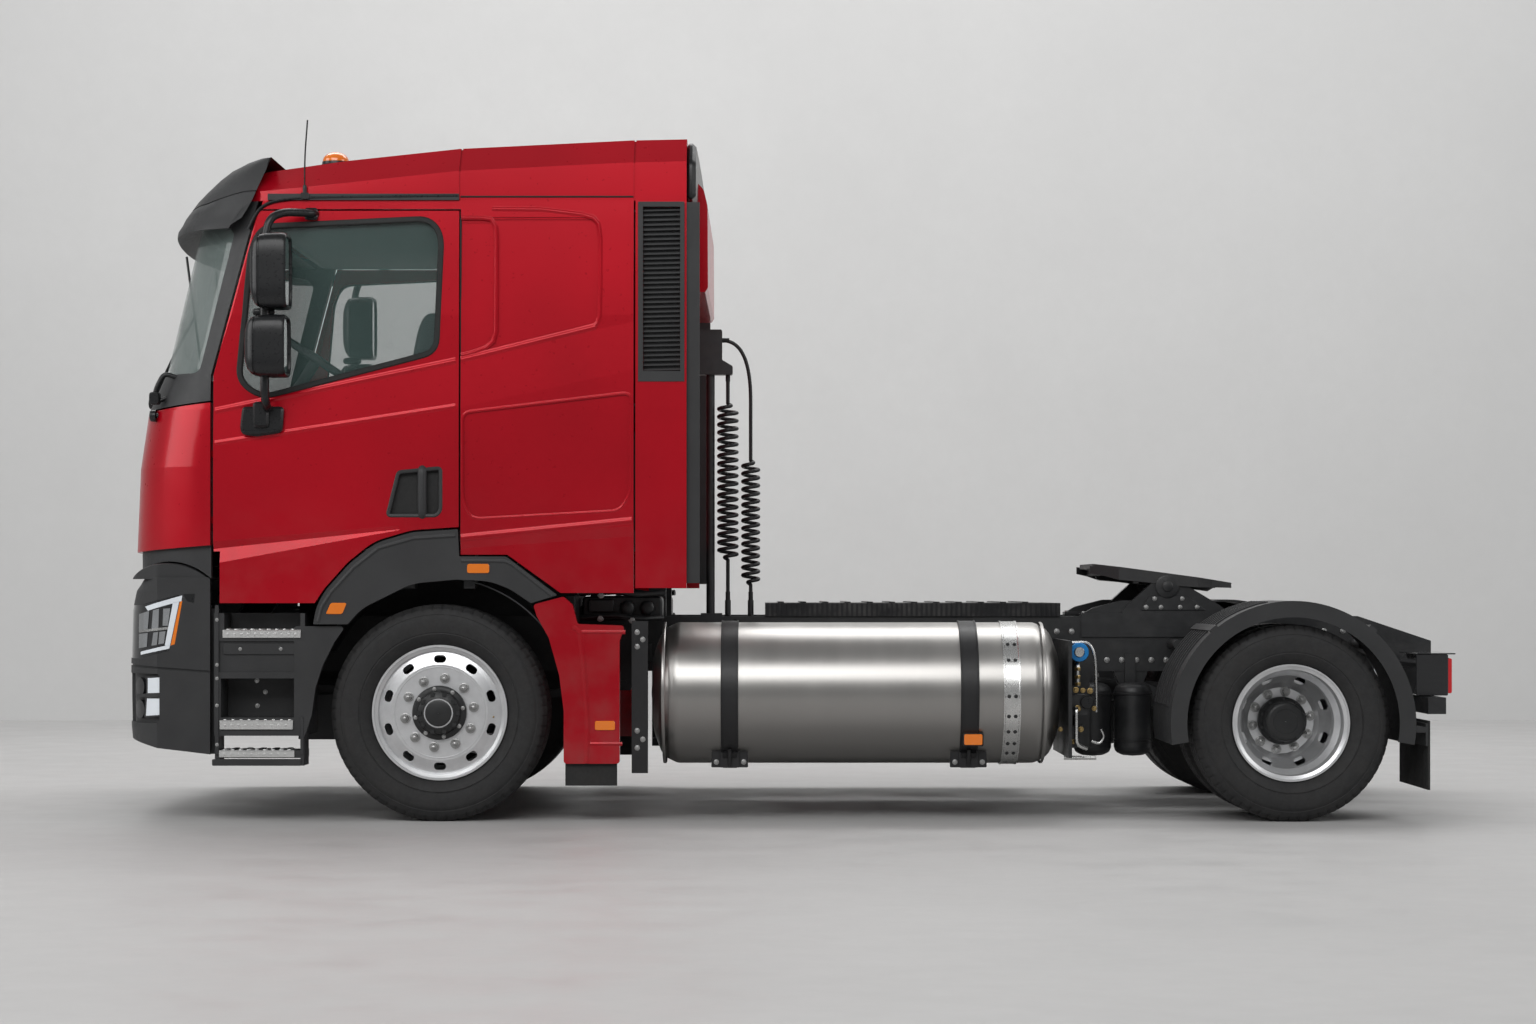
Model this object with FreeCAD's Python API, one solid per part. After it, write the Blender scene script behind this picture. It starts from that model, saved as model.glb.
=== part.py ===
import FreeCAD, Part
import math
import os

os.makedirs("parts", exist_ok=True)
V = FreeCAD.Vector

# Axes: +X to the rear, +Y to the right-hand side, +Z up. All x values are measured from the
# front axle; the finished solids are moved so that the middle of the length is at x = 0.
NOSE_X = -1500.0            # foremost point of the bumper
WHEELBASE = 3800.0
REAR_OVERHANG = 795.0
TAIL_X = WHEELBASE + REAR_OVERHANG      # end of the frame rails
MID_X = (NOSE_X + TAIL_X) / 2
HALF_WIDTH = 1250.0         # half of the body's width
SIDE = (HALF_WIDTH - 150, HALF_WIDTH + 150)     # zone that holds one side of the body
FULL = (-HALF_WIDTH - 150, HALF_WIDTH + 150)
SEAT_GAP = 0.3              # air between curved faces that would touch
PANEL_GAP = 8.0             # visible joint between neighbouring cab panels
RUN_GAP = 6.0               # least air between bodies that move against each other

# Frame
RAIL_Y = 430.0              # outer face of a rail
RAIL_FLANGE = 78.0
RAIL_SHEET = 8.0
RAIL_LOW, RAIL_TOP = 651.0, 910.0
RAIL_FRONT_X = -1265.0
TAIL_LOW, TAIL_TOP = 700.0, 794.0
TAPER_X = TAIL_X - 345
CROSS_X = (-1080.0, 1180.0, 1980.0, WHEELBASE - 1040, WHEELBASE - 380, WHEELBASE + 380)
CROSS_R = 48.0
CROSS_Z = 850.0

# Cab tilt hinge
TILT_X, TILT_Z = -1213.0, 850.0
TILT_TUBE_R = 38.0
BUMPER_SWEEP_R = 305.0      # the bumper stays inside this radius about the tilt hinge
CAB_SWEEP_R = BUMPER_SWEEP_R + RUN_GAP
EAR_Y = (446.0, 506.0)

# Wheels
FRONT_TYRE_R = 485.0
REAR_TYRE_R = 440.0
FRONT_WHEEL_Y = (HALF_WIDTH - 365, HALF_WIDTH - 50)
REAR_OUTER_Y = (HALF_WIDTH - 315, HALF_WIDTH - 25)
REAR_INNER_Y = (REAR_OUTER_Y[0] - 345, REAR_OUTER_Y[1] - 345)
KINGPIN_Y = FRONT_WHEEL_Y[0] + 45
SPINDLE_R = 40.0
BEARING_GAP = 0.05
HAND_HOLE_FRONT, HAND_HOLE_REAR = 10, 8

# Cab
CAB_REAR_X = 1105.0
CAB_FLOOR_LOW, CAB_FLOOR_TOP = 1236.0, 1300.0
EAVE_Z = 2764.0             # joint between walls and roof
WALL = 45.0                 # whole thickness of a wall or door
DOOR_FRONT_X, DOOR_REAR_X = -996.0, 94.0
DOOR_BOTTOM_Z = 975.0
SLEEPER_BOTTOM_Z = 1020.0
SLEEPER_REAR_X = 870.0
HINGE_X, HINGE_Y = -981.0, HALF_WIDTH - 17   # line of the door hinge pins
HINGE_Z = (1345.0, 1640.0)
HINGE_PIN_R = 4.0
HINGE_LUG_R = 7.0
HINGE_LUG_HALF = 15.0

# Tanks
TANK_R = 320.0
TANK_Y, TANK_Z = HALF_WIDTH - 350, 566.0
TANK_X = (936.0, WHEELBASE - 1006)
TANK_DOME = 120.0
STRAP_X = ((1256.0, 1334.0), (TANK_X[1] - 468, TANK_X[1] - 386))
BAND_X = (TANK_X[1] - 277, TANK_X[1] - 201)

# Fifth wheel
COUPLING_X, COUPLING_Z = WHEELBASE - 450, 1050.0
COUPLING_REST = 7.7         # degrees, rear edge down
KING_BORE_R = 25.45
COUPLING_PIN_R = 22.0


def box(x, y, z):
    """Box from three (low, high) pairs."""
    return Part.makeBox(x[1] - x[0], y[1] - y[0], z[1] - z[0], V(x[0], y[0], z[0]))


def rod(start, end, radius):
    """Round bar between two points."""
    a, b = V(*start), V(*end)
    return Part.makeCylinder(radius, (b - a).Length, a, b - a)


def corner_edges(points, radius, place):
    """Closed run of straight sides joined by tangent corner arcs."""
    n = len(points)
    radii = radius if isinstance(radius, (list, tuple)) else [radius] * n
    arcs = []
    for i, p in enumerate(points):
        here = V(p[0], p[1], 0)
        before = V(*points[i - 1], 0) - here
        after = V(*points[(i + 1) % n], 0) - here
        half = before.getAngle(after) / 2
        reach = min(radii[i] / math.tan(half), 0.48 * before.Length, 0.48 * after.Length)
        r = reach * math.tan(half)
        if r < 0.5:
            arcs.append((here, here, here))
            continue
        before.normalize()
        after.normalize()
        middle = before + after
        middle.normalize()
        arcs.append((here + before * reach, here + middle * (r / math.sin(half) - r),
                     here + after * reach))
    put = lambda q: place(q.x, q.y)
    edges = []
    for i, (start, mid, end) in enumerate(arcs):
        last = arcs[i - 1][2]
        if (start - last).Length > 1e-6:
            edges.append(Part.makeLine(put(last), put(start)))
        if (end - start).Length > 1e-6:
            edges.append(Part.Arc(put(start), put(mid), put(end)).toShape())
    return edges


def side_prism(points, y, radius=0.0):
    """Outline in the XZ plane carried across from y[0] to y[1]."""
    wire = Part.Wire(corner_edges(points, radius, lambda u, v: V(u, y[0], v)))
    return Part.Face(wire).extrude(V(0, y[1] - y[0], 0))


def plan_prism(points, z, radius=0.0):
    """Outline in the XY plane carried up from z[0] to z[1]."""
    wire = Part.Wire(corner_edges(points, radius, lambda u, v: V(u, v, z[0])))
    return Part.Face(wire).extrude(V(0, 0, z[1] - z[0]))


def front_prism(points, x, radius=0.0):
    """Outline in the YZ plane carried back from x[0] to x[1]."""
    wire = Part.Wire(corner_edges(points, radius, lambda u, v: V(x[0], u, v)))
    return Part.Face(wire).extrude(V(x[1] - x[0], 0, 0))


def turned(profile, x, z, smooth=0.0):
    """Profile of (radius, y) pairs turned about the line along Y through (x, z)."""
    wire = Part.Wire(corner_edges(profile, smooth, lambda r, y: V(x + r, y, z)))
    return Part.Face(wire).revolve(V(x, 0, z), V(0, 1, 0), 360)


def mirrored(shape):
    """The same shape on the right-hand side."""
    return shape.mirror(V(0, 0, 0), V(0, 1, 0))


def both(shape):
    """The shape with its mirror image, as solids that do not touch."""
    return Part.makeCompound([shape, mirrored(shape)])


def fused(shapes):
    """One solid from overlapping shapes."""
    return shapes[0].multiFuse(list(shapes[1:])).removeSplitter()


def left_y(low, high):
    """Interval of |y| placed on the left-hand side."""
    return (-high, -low)


def around_y(shape, x, z, degrees):
    """The shape turned about the line along Y through (x, z), rear end up when positive."""
    turned_shape = shape.copy()
    turned_shape.rotate(V(x, 0, z), V(0, -1, 0), degrees)
    return turned_shape


# Chassis
def rail_outline(inset):
    """Side outline of a rail, drawn in by the given amount."""
    low, top = RAIL_LOW + inset, RAIL_TOP - inset
    return [(RAIL_FRONT_X + inset / 4, low), (TAPER_X - 150, low), (TAIL_X - inset / 4, TAIL_LOW + inset),
            (TAIL_X - inset / 4, TAIL_TOP - inset), (TAPER_X, top), (RAIL_FRONT_X + inset / 4, top)]


def make_frame():
    """Two channel rails open inwards, tube crossmembers, tilt hinge tube and tail beam."""
    rail = side_prism(rail_outline(0), left_y(RAIL_Y - RAIL_FLANGE, RAIL_Y))
    hollow = side_prism(rail_outline(RAIL_SHEET), left_y(RAIL_Y - RAIL_FLANGE - 1, RAIL_Y - RAIL_SHEET))
    rail = rail.cut(hollow)
    reach = RAIL_Y - RAIL_SHEET / 2
    cross = [rod((x, -reach, CROSS_Z), (x, reach, CROSS_Z), CROSS_R) for x in CROSS_X]
    hinge = rod((TILT_X, -EAR_Y[1] - 12, TILT_Z), (TILT_X, EAR_Y[1] + 12, TILT_Z), TILT_TUBE_R)
    tail = box((TAIL_X - 60, TAIL_X - 12), (-reach, reach), (TAIL_LOW + 6, TAIL_TOP - 8))
    posts = [box((905, 985), left_y(RAIL_Y - 70, RAIL_Y), (RAIL_TOP - 2, CAB_FLOOR_LOW - 10))]
    left = fused([rail] + posts)
    return fused([left, mirrored(left)] + cross + [hinge, tail])


DECK_X = (1453.0, WHEELBASE - 955)
DECK_Z = (RAIL_TOP, 972.0)
DECK_HALF = 445.0


def make_deck():
    """Catwalk tray lying on the rails, open below, with raised grip bars."""
    tray = box(DECK_X, (-DECK_HALF, DECK_HALF), DECK_Z)
    hollow = box((DECK_X[0] + 4, DECK_X[1] - 4), (-DECK_HALF + 4, DECK_HALF - 4), (DECK_Z[0] - 1, DECK_Z[1] - 5))
    bars = [box((DECK_X[0] + 60 + 105 * i, DECK_X[0] + 90 + 105 * i), (-DECK_HALF + 40, DECK_HALF - 40),
                (DECK_Z[1] - 2, DECK_Z[1] + 6)) for i in range(int((DECK_X[1] - DECK_X[0] - 30) // 105))]
    return fused([tray.cut(hollow)] + bars)


GEARBOX_REAR_X = 1060.0
SHAFT_X = (GEARBOX_REAR_X + SEAT_GAP, WHEELBASE - 256)
SHAFT_Z = (720.0, 516.0)
SHAFT_R = 55.0


def shaft_z(x):
    """Height of the shaft's middle line at x."""
    return SHAFT_Z[0] + (SHAFT_Z[1] - SHAFT_Z[0]) * (x - SHAFT_X[0]) / (SHAFT_X[1] - SHAFT_X[0])


def make_engine():
    """Plain engine block with the gearbox behind it."""
    block = side_prism([(-760, 620), (-640, 520), (420, 520), (560, 620), (560, 1090), (480, 1150),
                        (-700, 1150), (-760, 1090)], (-325, 325))
    gearbox = side_prism([(540, 620), (GEARBOX_REAR_X, 660), (GEARBOX_REAR_X, 880), (540, 960)], (-210, 210))
    return fused([block, gearbox])


def make_drive_shaft():
    """Propeller shaft from the gearbox to the rear axle, its ends square to the vehicle."""
    start, end = SHAFT_X[0] - 40, SHAFT_X[1] + 40
    shaft = rod((start, 0, shaft_z(start)), (end, 0, shaft_z(end)), SHAFT_R)
    return shaft.common(box(SHAFT_X, (-100, 100), (300, 1000)))


AXLE_BEAM_Z = (372.0, 452.0)
SPRING_Y = (365.0, 445.0)


def make_front_axle():
    """Forged drop beam with raised ends and kingpin eyes."""
    end = KINGPIN_Y - 60
    beam = front_prism([(-end, 440), (-620, AXLE_BEAM_Z[0] - 4), (620, AXLE_BEAM_Z[0] - 4), (end, 440),
                        (end, 530), (600, AXLE_BEAM_Z[1]), (-600, AXLE_BEAM_Z[1]), (-end, 530)], (-48, 48))
    eyes = [rod((0, s * KINGPIN_Y, 425), (0, s * KINGPIN_Y, 545), 62) for s in (-1, 1)]
    arms = [box((-40, 40), sorted_pair(s * (KINGPIN_Y - 80), s * KINGPIN_Y), (440, 530)) for s in (-1, 1)]
    pins = [rod((0, s * KINGPIN_Y, 350), (0, s * KINGPIN_Y, 620), 24) for s in (-1, 1)]
    return fused([beam] + eyes + arms + pins)


def sorted_pair(a, b):
    """Low and high of two numbers."""
    return (min(a, b), max(a, b))


def make_front_springs():
    """Leaf packs clamped on the axle beam, hung from the rails at both ends."""
    leaves = side_prism([(-800, 585), (-420, 520), (0, 500), (420, 520), (800, 585), (800, 609), (420, 560),
                         (0, 548), (-420, 560), (-800, 609)], left_y(*SPRING_Y), 200)
    pad = box((-110, 110), left_y(*SPRING_Y), (AXLE_BEAM_Z[1], 520))
    hangers = [side_prism([(x - 55, RAIL_LOW), (x - 28, 560), (x + 28, 560), (x + 55, RAIL_LOW)],
                          left_y(SPRING_Y[0], SPRING_Y[1] - 15), 0) for x in (-790, 790)]
    return both(fused([leaves, pad] + hangers))


def make_rear_axle():
    """Banjo axle with tubes, brake drums and wheel spindles."""
    x, z = WHEELBASE, REAR_TYRE_R
    case = turned([(0.01, -150), (150, -140), (228, -60), (228, 60), (150, 140), (0.01, 150)], x, z, 30)
    nose = rod((SHAFT_X[1] - 30, 0, shaft_z(SHAFT_X[1] - 30)), (x - 130, 0, shaft_z(x - 130)), 95)
    nose = nose.common(box((SHAFT_X[1] + SEAT_GAP, x), (-100, 100), (300, 700)))
    y = REAR_INNER_Y[0]
    tube = rod((x, -y + 25, z), (x, y - 25, z), 74)
    drums = [rod((x, s * (y - 30), z), (x, s * (y + 145), z), 182) for s in (-1, 1)]
    spindles = [rod((x, s * (y + 140), z), (x, s * (y + 422), z), SPINDLE_R) for s in (-1, 1)]
    return fused([case, nose, tube] + drums + spindles)


def make_rear_suspension():
    """Trailing arms under the axle with air springs against the rails."""
    x, z = WHEELBASE, REAR_TYRE_R
    arm = side_prism([(x - 640, 560), (x - 600, 520), (x - 90, z - 130), (x + 330, z - 118), (x + 330, z - 74.5),
                      (x + 60, z - 74.5), (x - 60, z - 74.5), (x - 560, 600)], left_y(340, 430))
    hanger = side_prism([(x - 700, RAIL_LOW), (x - 660, 545), (x - 580, 545), (x - 540, RAIL_LOW)],
                        left_y(345, 425))
    bag = rod((x + 260, -385, z - 76), (x + 260, -385, RAIL_LOW), 118)
    return both(fused([arm, hanger, bag]))


def plan_wire(z, nose, shoulder, side_x, half, rear, bulge):
    """Plan outline at height z: bowed front, rounded corner, straight side and back.

    shoulder is the (x, |y|) point where the bowed front ends, bulge the corner arc's rise.
    """
    sx, sy = shoulder
    chord = V(side_x - sx, half - sy, 0)
    out = V(-chord.y, chord.x, 0)
    out.normalize()
    mid = V((sx + side_x) / 2, (sy + half) / 2, z) + out * bulge
    flip = lambda p: V(p.x, -p.y, p.z)
    s, e, r = V(sx, sy, z), V(side_x, half, z), V(rear, half, z)
    return Part.Wire([
        Part.Arc(flip(s), V(nose, 0, z), s).toShape(), Part.Arc(s, mid, e).toShape(),
        Part.makeLine(e, r), Part.makeLine(r, flip(r)), Part.makeLine(flip(r), flip(e)),
        Part.Arc(flip(e), flip(mid), flip(s)).toShape()])


BUMPER_HALF = HALF_WIDTH - 28
BUMPER_REAR_X = -1015.0
BUMPER_LEVELS = ((300, -1482), (420, -1497), (560, NOSE_X), (700, NOSE_X), (940, -1492), (1030, -1464),
                 (1090, -1400))     # (z, foremost x)
BUMPER_SHEET = 30.0


def bumper_form(inset):
    """Outer form of the bumper, drawn in by inset, inside the tilt hinge's sweep."""
    wires = [plan_wire(z, nose + inset, (nose + 75 + inset, BUMPER_HALF - 322 - inset / 3), -1250 + inset / 2,
                       BUMPER_HALF - inset, BUMPER_REAR_X, 48) for z, nose in BUMPER_LEVELS]
    form = Part.makeLoft(wires, True, True)
    upper = box((-1600, -1000), FULL, (TILT_Z, 1200))
    sweep = rod((TILT_X, FULL[0], TILT_Z), (TILT_X, FULL[1], TILT_Z), BUMPER_SWEEP_R - inset)
    return form.cut(upper.cut(sweep))


HEADLAMP_SIDE = [(-1600, 728), (-1340, 726), (-1196, 762), (-1154, 1012), (-1330, 968), (-1600, 955)]
HEADLAMP_Y = (BUMPER_HALF - 422, SIDE[1])
FOG_RECESS = [(-1600, 440), (-1240, 440), (-1240, 660), (-1600, 660)]
FOG_Y = (BUMPER_HALF - 292, SIDE[1])
FOG_Z = (500.0, 600.0)
FOG_R = 42.0


def make_bumper():
    """Bumper shell with lamp openings, lower intake slots and a crease line."""
    outer = bumper_form(0)
    inner = bumper_form(BUMPER_SHEET)
    inside_y = (-BUMPER_HALF + BUMPER_SHEET, BUMPER_HALF - BUMPER_SHEET)
    open_rear = box((BUMPER_REAR_X - 72, BUMPER_REAR_X + 1), inside_y, (200, 1200))
    open_low = box((-1600 + 140, BUMPER_REAR_X), inside_y, (290, 305))
    shell = outer.cut(inner).cut(open_rear).cut(open_low)
    crease = outer.cut(bumper_form(7)).common(side_prism(
        [(-1600, 706), (-1016, 664), (-1016, 674), (-1600, 716)], FULL))
    lamp = both(side_prism(HEADLAMP_SIDE, left_y(*HEADLAMP_Y)))
    fog = both(side_prism(FOG_RECESS, left_y(*FOG_Y), 16)).common(outer.cut(bumper_form(20)))
    slots = [box((-1600, -1440), (-640, 640), (440 + 34 * i, 458 + 34 * i)) for i in range(5)]
    slope = side_prism([(-1600, 200), (-1000, 200), (-1000, 300), (-1250, 330), (-1430, 372), (-1600, 385)],
                       FULL)
    shell = shell.cut(crease).cut(lamp).cut(fog).cut(Part.makeCompound(slots)).cut(slope)
    arms = [box((NOSE_X + BUMPER_SHEET - 4, RAIL_FRONT_X - SEAT_GAP),
                sorted_pair(s * (RAIL_Y - RAIL_FLANGE), s * RAIL_Y),
                (RAIL_LOW + 15, RAIL_LOW + 150)) for s in (-1, 1)]
    return fused([shell] + arms)


def make_headlamps():
    """Headlamp bodies wrapped round the bumper's corners."""
    shape = bumper_form(2).cut(bumper_form(70))
    y = left_y(HEADLAMP_Y[0] + SEAT_GAP, HEADLAMP_Y[1])
    wire = Part.Wire(corner_edges(HEADLAMP_SIDE, 0, lambda u, v: V(u, y[0], v)))
    low = Part.Face(wire).makeOffset2D(-SEAT_GAP).extrude(V(0, y[1] - y[0], 0))
    return both(shape.common(low))


def make_fog_lamps():
    """Two round lamps one above the other in each corner recess."""
    band = bumper_form(3).cut(bumper_form(20))
    lamps = []
    for z in FOG_Z:
        lamps.append(band.common(rod((-1190, 222 - BUMPER_HALF, z), (-1460, 2 - BUMPER_HALF, z), FOG_R)))
    return Part.makeCompound([both(lamp) for lamp in lamps])


STEP_X = (-996.0, -592.0)
STEP_Y = (HALF_WIDTH - 390, HALF_WIDTH - 22)


def make_steps():
    """Step boxes ahead of the front wheels with two treads, a hanging step and an arch edge."""
    body = box(STEP_X, left_y(*STEP_Y), (385, 930))
    upper = box((STEP_X[0] + 45, STEP_X[1] - 20), left_y(HALF_WIDTH - 190, HALF_WIDTH + 50), (852, 960))
    lower = box((STEP_X[0] + 30, STEP_X[1] - 45), left_y(HALF_WIDTH - 200, HALF_WIDTH + 50), (466, 640))
    panel = box((STEP_X[0] + 22, STEP_X[1] - 22), left_y(HALF_WIDTH - 31, HALF_WIDTH + 50), (668, 806))
    body = body.cut(upper).cut(lower).cut(panel)
    arms = [box((x, x + 16), left_y(HALF_WIDTH - 160, HALF_WIDTH - 22), (252, 387))
            for x in (STEP_X[0] + 4, STEP_X[1] - 20)]
    tread = box((STEP_X[0] + 4, STEP_X[1] - 4), left_y(HALF_WIDTH - 170, HALF_WIDTH - 22), (286, 320))
    ribs = [box((STEP_X[0] + 70 + 60 * i, STEP_X[0] + 90 + 60 * i),
                left_y(HALF_WIDTH - 165, HALF_WIDTH - 28), (318, 326)) for i in range(5)]
    edge = side_prism([(-640, 390), (-590, 390), (-562, 478), (-545, 600), (-512, 700), (-462, 800), (-412, 872),
                       (-640, 872)], left_y(HALF_WIDTH - 47, HALF_WIDTH - 22), 12)
    bracket = box((-960, -650), left_y(RAIL_Y, STEP_Y[0] + 10), (700, 790))
    return both(fused([body, tread, edge, bracket] + arms + ribs))


GUARD_SIDE = [(424, 968), (559, 1004), (600, 968), (621, 882), (832, 875), (808, 806), (808, 262), (560, 262),
              (560, 496), (540, 656), (494, 820), (440, 918)]


def make_guards():
    """Side guards behind the front wheels with their inner splash walls."""
    skin = side_prism(GUARD_SIDE, left_y(HALF_WIDTH - 46, HALF_WIDTH), 14)
    wall = box((596, 616), left_y(640, HALF_WIDTH - 44), (262, 872))
    top = box((596, 800), left_y(640, HALF_WIDTH - 44), (850, 872))
    bracket = box((640, 720), left_y(RAIL_Y, 660), (780, 860))
    return both(fused([skin, wall, top, bracket]))


REAR_FENDER_R = (535.0, 545.0)
FENDER_Y = (HALF_WIDTH - 610, HALF_WIDTH)


def make_flaps():
    """Rubber flaps behind the front and the rear wheels."""
    side = box((566, 796), left_y(HALF_WIDTH - 34, HALF_WIDTH - 20), (163, 261.7))
    cross = box((566, 578), left_y(760, HALF_WIDTH - 34), (163, 261.7))
    rear_x = WHEELBASE + 598
    rear = box((rear_x, rear_x + 10), left_y(FENDER_Y[0] + 15, FENDER_Y[1] - 8), (145, 452))
    return Part.makeCompound([both(fused([side, cross])), both(rear)])


def vessel(length, radius, dome):
    """Round vessel along X from 0 to length with dished ends."""
    end = [(0, 0), (0.58 * radius, 0.12 * dome), (0.9 * radius, 0.45 * dome), (radius, dome)]
    profile = end + [(r, length - x) for r, x in reversed(end)]
    round_off = [0, 0.5 * radius, 0.3 * radius, 0.5 * dome, 0.5 * dome, 0.3 * radius, 0.5 * radius, 0]
    wire = Part.Wire(corner_edges(profile, round_off, lambda r, x: V(x, 0, r)))
    return Part.Face(wire).revolve(V(0, 0, 0), V(1, 0, 0), 360)


def make_tanks():
    """Gas tanks along both rails."""
    tank = vessel(TANK_X[1] - TANK_X[0], TANK_R, TANK_DOME)
    tank.translate(V(TANK_X[0], -TANK_Y, TANK_Z))
    return both(tank)


def ring_x(x, inner, outer):
    """Band round a tank between x[0] and x[1]."""
    solid = rod((x[0], -TANK_Y, TANK_Z), (x[1], -TANK_Y, TANK_Z), outer)
    return solid.cut(rod((x[0] - 1, -TANK_Y, TANK_Z), (x[1] + 1, -TANK_Y, TANK_Z), inner))


def make_straps():
    """Tank straps with saddle brackets on the rails, and the bright outer band."""
    parts = []
    for x in STRAP_X:
        saddle = front_prism([(-RAIL_Y, 880), (-RAIL_Y, 232), (-1060, 232), (-1120, 300), (-900, 420), (-640, 560),
                              (-560, 800), (-560, 880)], (x[0] + 8, x[1] - 8), 0)
        saddle = saddle.cut(rod((x[0] - 5, -TANK_Y, TANK_Z), (x[1] + 5, -TANK_Y, TANK_Z), TANK_R + 4))
        parts.append(both(fused([ring_x(x, TANK_R + SEAT_GAP, TANK_R + 7), saddle])))
    parts.append(both(ring_x(BAND_X, TANK_R + SEAT_GAP, TANK_R + 3.5)))
    return Part.makeCompound(parts)


def make_struts():
    """Upright struts ahead of the tanks, on arms from the rails."""
    post = box((858, 930), left_y(HALF_WIDTH - 120, HALF_WIDTH - 80), (215, 894))
    arm = box((868, 920), left_y(RAIL_Y, HALF_WIDTH - 118), (700, 780))
    foot = box((868, 920), left_y(980, HALF_WIDTH - 118), (230, 262))
    return both(fused([post, arm, foot]))


def make_valves():
    """Valve cabinets behind the tanks with a regulator, pipes and a filler."""
    x = TANK_X[1]
    plate = box((x + 18, x + 34), left_y(RAIL_Y, 1140), (281, 805))
    side = box((x + 32, x + 166), left_y(640, 652), (300, 790))
    body = box((x + 33, x + 112), left_y(880, 952), (708, 796))
    regulator = rod((x + 80, -950, 752), (x + 80, -1010, 752), 40)
    cap = rod((x + 80, -1008, 752), (x + 80, -1016, 752), 30)
    blocks = [box((x + 33, x + 111), left_y(880, 1060), (470, 560)),
              box((x + 33, x + 86), left_y(700, 840), (520, 700)),
              box((x + 33, x + 96), left_y(900, 1020), (320, 420))]
    pipes = [rod((x + 66, -960, 418), (x + 66, -960, 472), 11), rod((x + 66, -940, 558), (x + 66, -940, 710), 11),
             rod((x + 56, -1055, 500), (x + 56, -1110, 500), 9), rod((x + 56, -1110, 340), (x + 56, -1110, 505), 9)]
    return both(fused([plate, side, body, regulator, cap] + blocks + pipes))


AIR_TANK_R = 88.0
AIR_TANK_AT = ((WHEELBASE - 815, 535.0), (WHEELBASE - 626, 535.0))
AIR_TANK_Z = (257.0, 603.0)


def make_air_tanks():
    """Upright air vessels hung on the rails behind the valve cabinets."""
    parts = []
    for x, y in AIR_TANK_AT:
        air = vessel(AIR_TANK_Z[1] - AIR_TANK_Z[0], AIR_TANK_R, 42)
        air.rotate(V(0, 0, 0), V(0, 1, 0), -90)
        air.translate(V(x, -y, AIR_TANK_Z[0]))
        bracket = box((x - 25, x + 25), left_y(RAIL_Y, y - 20), (520, 570))
        lug = box((x - 25, x + 25), left_y(RAIL_Y, RAIL_Y + 14), (522, RAIL_LOW + 80))
        parts.append(both(fused([air, bracket, lug])))
    return Part.makeCompound(parts)


def make_fifth_base():
    """Mounting angles on the rails with pedestals and the coupling pivot pins."""
    parts = []
    c = COUPLING_X
    angle = box((c - 406, c + 297), left_y(330, 440), (RAIL_TOP, 924))
    flange = box((c - 406, c + 297), left_y(RAIL_Y, 440), (812, 924))
    pedestal = side_prism([(c - 222, 922), (c + 297, 922), (c + 250, 960), (c + 70, COUPLING_Z + 18),
                           (c + 30, COUPLING_Z + 30), (c - 30, COUPLING_Z + 30),
                           (c - 70, COUPLING_Z + 18), (c - 190, 960)], left_y(385, 435), 8)
    window = side_prism([(c - 120, 945), (c + 170, 945), (c + 90, 1000), (c - 80, 1000)], left_y(380, 440), 10)
    pin = rod((COUPLING_X, -436, COUPLING_Z), (COUPLING_X, -330, COUPLING_Z), COUPLING_PIN_R)
    parts.append(fused([angle, flange, pedestal.cut(window), pin]))
    tie = box((c - 50, c + 50), (-388, 388), (RAIL_TOP, 924))
    left = parts[0]
    return fused([left, mirrored(left), tie])


COUPLING_PLATE_X = (COUPLING_X - 347, COUPLING_X + 330)
PLATE_TOP = 62.0            # height of the plate's top above the pivot
PLATE_SHEET = 22.0


def make_fifth_plate():
    """Coupling plate with its throat, locking jaw bore, side ribs and pivot ears, rear edge down."""
    x0, x1 = COUPLING_PLATE_X
    top = COUPLING_Z + PLATE_TOP
    plate = plan_prism([(x0, -300), (x0 + 120, -430), (x1 - 190, -450), (x1, -250), (x1, 250), (x1 - 190, 450),
                        (x0 + 120, 430), (x0, 300)], (top - PLATE_SHEET, top), 60)
    throat = plan_prism([(COUPLING_X + 95, -48), (x1 + 90, -215), (x1 + 90, 215), (COUPLING_X + 95, 48)],
                        (top - 120, top + 5), 0)
    lips = [side_prism([(x0 + 60, top - 5), (x0 + 100, top - 58), (x1 - 130, top - 58), (x1 - 60, top - 5)],
                       sorted_pair(s * 345, s * 372)) for s in (-1, 1)]
    jaw = box((COUPLING_X - 95, COUPLING_X + 110), (-105, 105), (top - 60, top - 2))
    front_rib = box((x0 + 40, x0 + 62), (-290, 290), (top - 48, top - 5))
    ears = [rod((COUPLING_X, s * 345, COUPLING_Z), (COUPLING_X, s * 372, COUPLING_Z), 42) for s in (-1, 1)]
    body = fused([plate.cut(throat), jaw, front_rib] + lips + ears)
    notch = box((COUPLING_X + 40, COUPLING_X + 120), (-20, 20), (top - 70, top + 5))
    bore = rod((COUPLING_X, 0, top - 80), (COUPLING_X, 0, top + 10), KING_BORE_R)
    pins = rod((COUPLING_X, -600, COUPLING_Z), (COUPLING_X, 600, COUPLING_Z), COUPLING_PIN_R + BEARING_GAP)
    body = body.cut(bore).cut(pins).cut(notch)
    return around_y(body, COUPLING_X, COUPLING_Z, -COUPLING_REST)


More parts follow.
